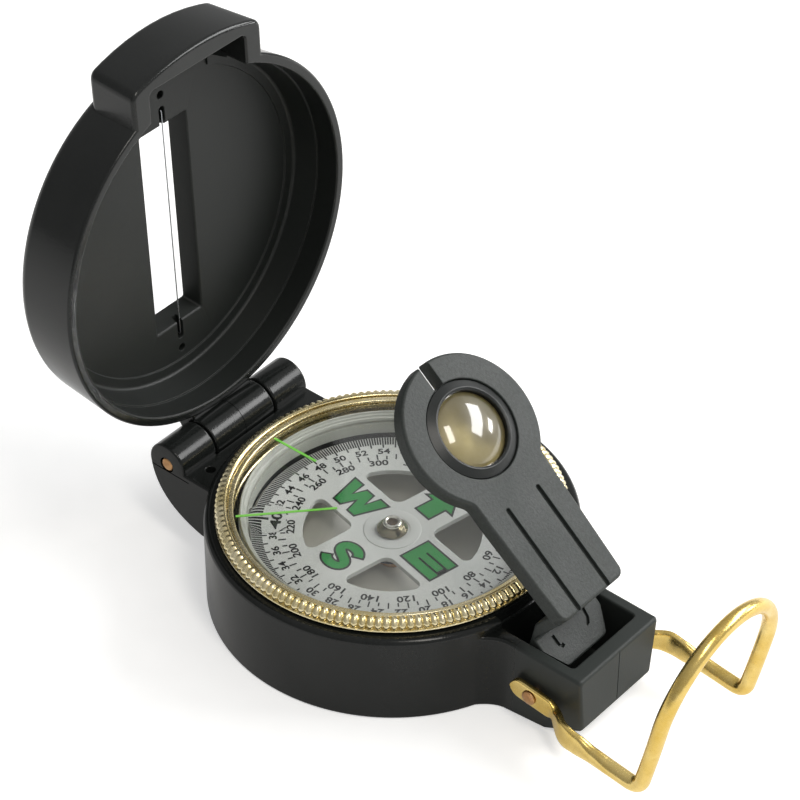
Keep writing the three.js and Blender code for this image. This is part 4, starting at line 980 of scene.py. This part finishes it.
# eye lens, domed above and below, and the bevelled ring that keeps it
lensShape = dict(
    bottom=9.02, flat=9.62, shoulder=9.95, radius=5.9, dome=5.5, crown=1.67, belly=0.9, bellyRadius=5.2,
    sides=96, keeper=[
        (5.65, 9.72, 0.05), (7.28, 9.72, 0.1), (7.28, 10.2, 0.15), (6.0, 10.8, 0.2), (5.65, 10.6, 0.1)])


def domePoints(edge, level, rise, steps=14):
    # from the edge of a dome to its middle, up or down from a level
    sphere = (edge ** 2 + rise ** 2) / (2 * abs(rise))
    spread = math.asin(edge / sphere)
    points = []
    for k in range(steps + 1):
        turn = spread * (1 - k / steps)
        bulge = abs(rise) - sphere * (1 - math.cos(turn))
        points.append((sphere * math.sin(turn), level + math.copysign(bulge, rise)))
    return points


def makeLens(s):
    atHead = armPlace @ Matrix.Translation((0, armShape["head"], 0))
    belly = domePoints(s.bellyRadius, s.bottom, -s.belly)[::-1]
    rim = [(s.radius, s.bottom), (s.radius, s.flat), (s.dome, s.flat)]
    lens = turned(belly + rim + domePoints(s.dome, s.shoulder, s.crown), s.sides)
    makePiece("eye_glass", lens, amberAcrylic, "lens_glass", "lens_arm", ["eye_lens"], atHead)
    turnedPiece(
        "lens_keeper", s.keeper, 4, s.sides, ringAbs, "grey_plastic", "lens_arm", ["lens_ring"], atHead)


makeLens(named(lensShape))
print("lens arm made")


# thumb loop: one bent wire, flattened where it is riveted and pressed into a leaf beyond the kink
loopShape = dict(
    strip=9.8, back=3.5, kink=4.4, half=12.3, kinkEnd=7.5, arm=21.2, rise=4.5, arch=25.5, lean=1.7,
    bends=(1.0, 1.5, 2.0), step=0.45, stripHalf=1.65, hole=1.0, holes=[(-11.5, -8.5), (8.5, 11.5)],
    sectionSides=28, section=[  # distance from the end, half thickness, half height, squareness
        (0, 0.5, 1.65, 5), (6.6, 0.5, 1.65, 5), (8.1, 0.7, 1.1, 3), (10.2, 0.62, 1.75, 3.5),
        (12.2, 0.62, 2.0, 3.5), (14.2, 0.72, 1.85, 3), (17.2, 0.98, 1.35, 2.3), (20.5, 1.15, 1.15, 2),
        (999, 1.15, 1.15, 2)])


def loopPath(s):
    def archPoint(across, height):
        return Vector((across, -s.arm - s.lean * math.sin(height / s.arch * math.pi / 2), height))

    rise, shoulder = s.rise, s.arch - s.half
    flat = [(s.strip, s.back, 0), (s.strip, -s.kink, 0), (s.half, -s.kinkEnd, 0)]
    corners = [Vector(p) for p in flat] + [archPoint(s.half, 0), archPoint(s.half, rise)]
    half = bentPath(corners, s.bends)
    half += [archPoint(s.half, rise + (shoulder - rise) * k / 5) for k in range(1, 6)]
    half += [archPoint(x, shoulder + y) for x, y in arc(0, 0, s.half, 0, 90, 16)[1:]]
    whole = half + [Vector((-p.x, p.y, p.z)) for p in half[-2::-1]]
    dense = []  # even steps along the wire
    for a, b in zip(whole, whole[1:]):
        count = max(1, round((b - a).length / s.step))
        dense += [a.lerp(b, k / count) for k in range(count)]
    return dense + [whole[-1]]


def loopSection(s, along):
    for low, high in zip(s.section, s.section[1:]):
        if along <= high[0]:
            share = (along - low[0]) / (high[0] - low[0])
            share = share * share * (3 - 2 * share)
            thick, tall, square = [low[k] + (high[k] - low[k]) * share for k in (1, 2, 3)]
            break
    if along < s.stripHalf:  # round end of the strip
        tall = math.sqrt(max(0.0004, s.stripHalf ** 2 - (s.stripHalf - along) ** 2))
    return thick, tall, square


def makeLoop(s):
    path = loopPath(s)
    ends = [s.stripHalf * b for a, b in easing(8)[1:-1]]
    start, finish = path[0], path[-1]
    inner = [p for p in path if (p - start).length > s.stripHalf and (p - finish).length > s.stripHalf]
    path = [start] + [start - Vector((0, e, 0)) for e in ends] + inner
    path += [finish - Vector((0, e, 0)) for e in ends[::-1]] + [finish]
    wire = sweepWire(path, lambda along: loopSection(s, along), s.sectionSides)
    holes = [rodAcross(s.hole, low, high, 0.05, 32, 0, 0) for low, high in s.holes]
    return combine(wire, holes, "DIFFERENCE")


loopBody = makeLoop(named(loopShape))
makePiece("loop_wire", loopBody, loopBrass, "gold_brass", "thumb_loop", ["thumb_loop"], loopPlace)

# rivets of the loop, low domes with a shank into the block
rivetShape = dict(profile=[
    (0, 7.4), (0.8, 7.4, 0.1), (0.8, 10.38, 0.02), (1.15, 10.38, 0.04), (1.1, 10.58, 0.1), (0.6, 10.76, 0.1),
    (0, 10.78)])
for side, node in ((-1, "left_loop_rivet"), (1, "right_loop_rivet")):
    place = Matrix.Translation(restShape["loopPivot"]) @ Matrix.Rotation(side * math.pi / 2, 4, "Y")
    turnedPiece(node + "_head", rivetShape["profile"], 3, 40, rivetBrass, "gold_brass", "base", [node], place)
print("loop made")


# solids that keep their own shape and get a finish
kept = dict(
    pivot_post=rivetBrass, pivot_needle=drawnSteel, bezel_retainer=drawnSteel, lens_arm_pin=drawnSteel,
    pivot_jewel=amberJewel, dial_magnet=sinteredMagnet, long_line=limePaint, short_line=limePaint)
for name, material in kept.items():
    nodes[name].data.materials.clear()
    nodes[name].data.materials.append(material)


# camera fitted to the photograph's frame of 800 by 800
cameraSetup = dict(position=(-261.41, -222.46, 321.51), target=(13.39, 10.0, 22.18), roll=0.285, lens=141.86)


def makeCamera(s):
    ahead = (Vector(s.target) - Vector(s.position)).normalized()
    level = ahead.cross(Vector((0, 0, 1))).normalized()
    rise = level.cross(ahead)
    roll = math.radians(s.roll)
    right = level * math.cos(roll) + rise * math.sin(roll)
    up = rise * math.cos(roll) - level * math.sin(roll)
    data = bpy.data.cameras.new("camera")
    data.lens = s.lens
    data.sensor_width = 36.0
    data.clip_start = 0.01
    camera = addObject("camera", data)
    turn = Matrix((right, up, -ahead)).transposed().to_4x4()
    camera.matrix_world = Matrix.Translation(Vector(s.position) * mm) @ turn
    bpy.context.scene.camera = camera


makeCamera(named(cameraSetup))


# light: a wide softbox at the right, a smaller one overhead and a low window at the right, in metres and watts
lamps = dict(
    softbox=dict(direction=(0.69, -0.4, 0.61), size=(0.52, 0.2), power=2.65, colour="#ffffff"),
    overhead=dict(direction=(-0.2, -0.44, 0.87), size=(0.1, 0.3), power=0.8, colour="#fffaf2"),
    lowWindow=dict(direction=(0.866, -0.443, 0.235), size=(0.18, 0.08), power=0.55, colour="#ffffff"))
middle, distance = Vector((0.005, -0.005, 0.025)), 0.6
for name, lamp in lamps.items():
    data = bpy.data.lights.new(name, "AREA")
    data.shape = "RECTANGLE"
    data.size, data.size_y = lamp["size"]
    data.energy = lamp["power"]
    data.color = linear(lamp["colour"])[:3]
    light = addObject(name, data)
    outward = Vector(lamp["direction"]).normalized()
    turn = outward.to_track_quat("Z", "Y").to_matrix().to_4x4()
    light.matrix_world = Matrix.Translation(middle + outward * distance) @ turn

# room: a pale room, brighter towards the right and the front
roomShape = dict(bright=(0.6, -0.62, 0.5), span=(-0.6, 0.9), low=0.32, high=0.6)


def makeRoom(s):
    room = bpy.data.worlds.new("room")
    room.use_nodes = True
    tree = room.node_tree
    tree.nodes.clear()
    aim = addNode(tree, "TexCoord")["Generated"]
    front = addNode(tree, "VectorMath", {
        "operation": "DOT_PRODUCT", 1: s.bright}, {0: aim})["Value"]
    level = addNode(tree, "MapRange", {
        "From Min": s.span[0], "From Max": s.span[1], "To Min": s.low, "To Max": s.high}, {
        "Value": front})[0]
    plain = addNode(tree, "Background", {"Color": (1, 1, 1, 1)}, {"Strength": level})
    addNode(tree, "OutputWorld", None, {"Surface": plain[0]})
    bpy.context.scene.world = room


makeRoom(named(roomShape))

# floor: white paper, lifted to clean white where it is seen directly, in metal or through glass
# real fibres are too fine to show, so they are drawn as soft clouds of a few millimetres
floorShape = dict(half=4.0, fibre=4.0, dark="#f0f0ef", light="#f4f4f3", lift=0.44, glint=0.12)


def makeFloor(s):
    material, tree = newTree("pressed white paper")
    spot = addNode(tree, "TexCoord")["Object"]
    fibre = addNode(tree, "TexNoise", {
        "Scale": 1 / (s.fibre * mm), "Detail": 3.0}, {"Vector": spot})["Fac"]
    paper = addNode(tree, "ValToRGB", {
        "ramp": [(0.3, s.dark), (0.7, s.light)]}, {"Fac": fibre})["Color"]
    matt = addNode(tree, "BsdfDiffuse", None, {"Color": paper})
    rays = addNode(tree, "LightPath")
    direct = addNode(tree, "Math", {"operation": "MAXIMUM"}, {
        0: rays["Is Camera Ray"], 1: rays["Is Transmission Ray"]})[0]
    lift = addNode(tree, "Math", {"operation": "MULTIPLY", 1: s.lift}, {0: direct})[0]
    glint = addNode(tree, "Math", {
        "operation": "MULTIPLY", 1: s.glint}, {0: rays["Is Glossy Ray"]})[0]
    seen = addNode(tree, "Math", {"operation": "MAXIMUM"}, {0: lift, 1: glint})[0]
    glow = addNode(tree, "Emission", {"Color": (1, 1, 1, 1)}, {"Strength": seen})
    both = addNode(tree, "AddShader", None, {0: matt[0], 1: glow[0]})
    addNode(tree, "OutputMaterial", None, {"Surface": both[0]})
    ground = bmesh.new()
    bmesh.ops.create_grid(ground, x_segments=4, y_segments=4, size=s.half)
    floor = addBody("floor", ground)
    floor.data.materials.append(material)


makeFloor(named(floorShape))
bpy.context.scene.view_settings.view_transform = "Standard"
print("stage ready")
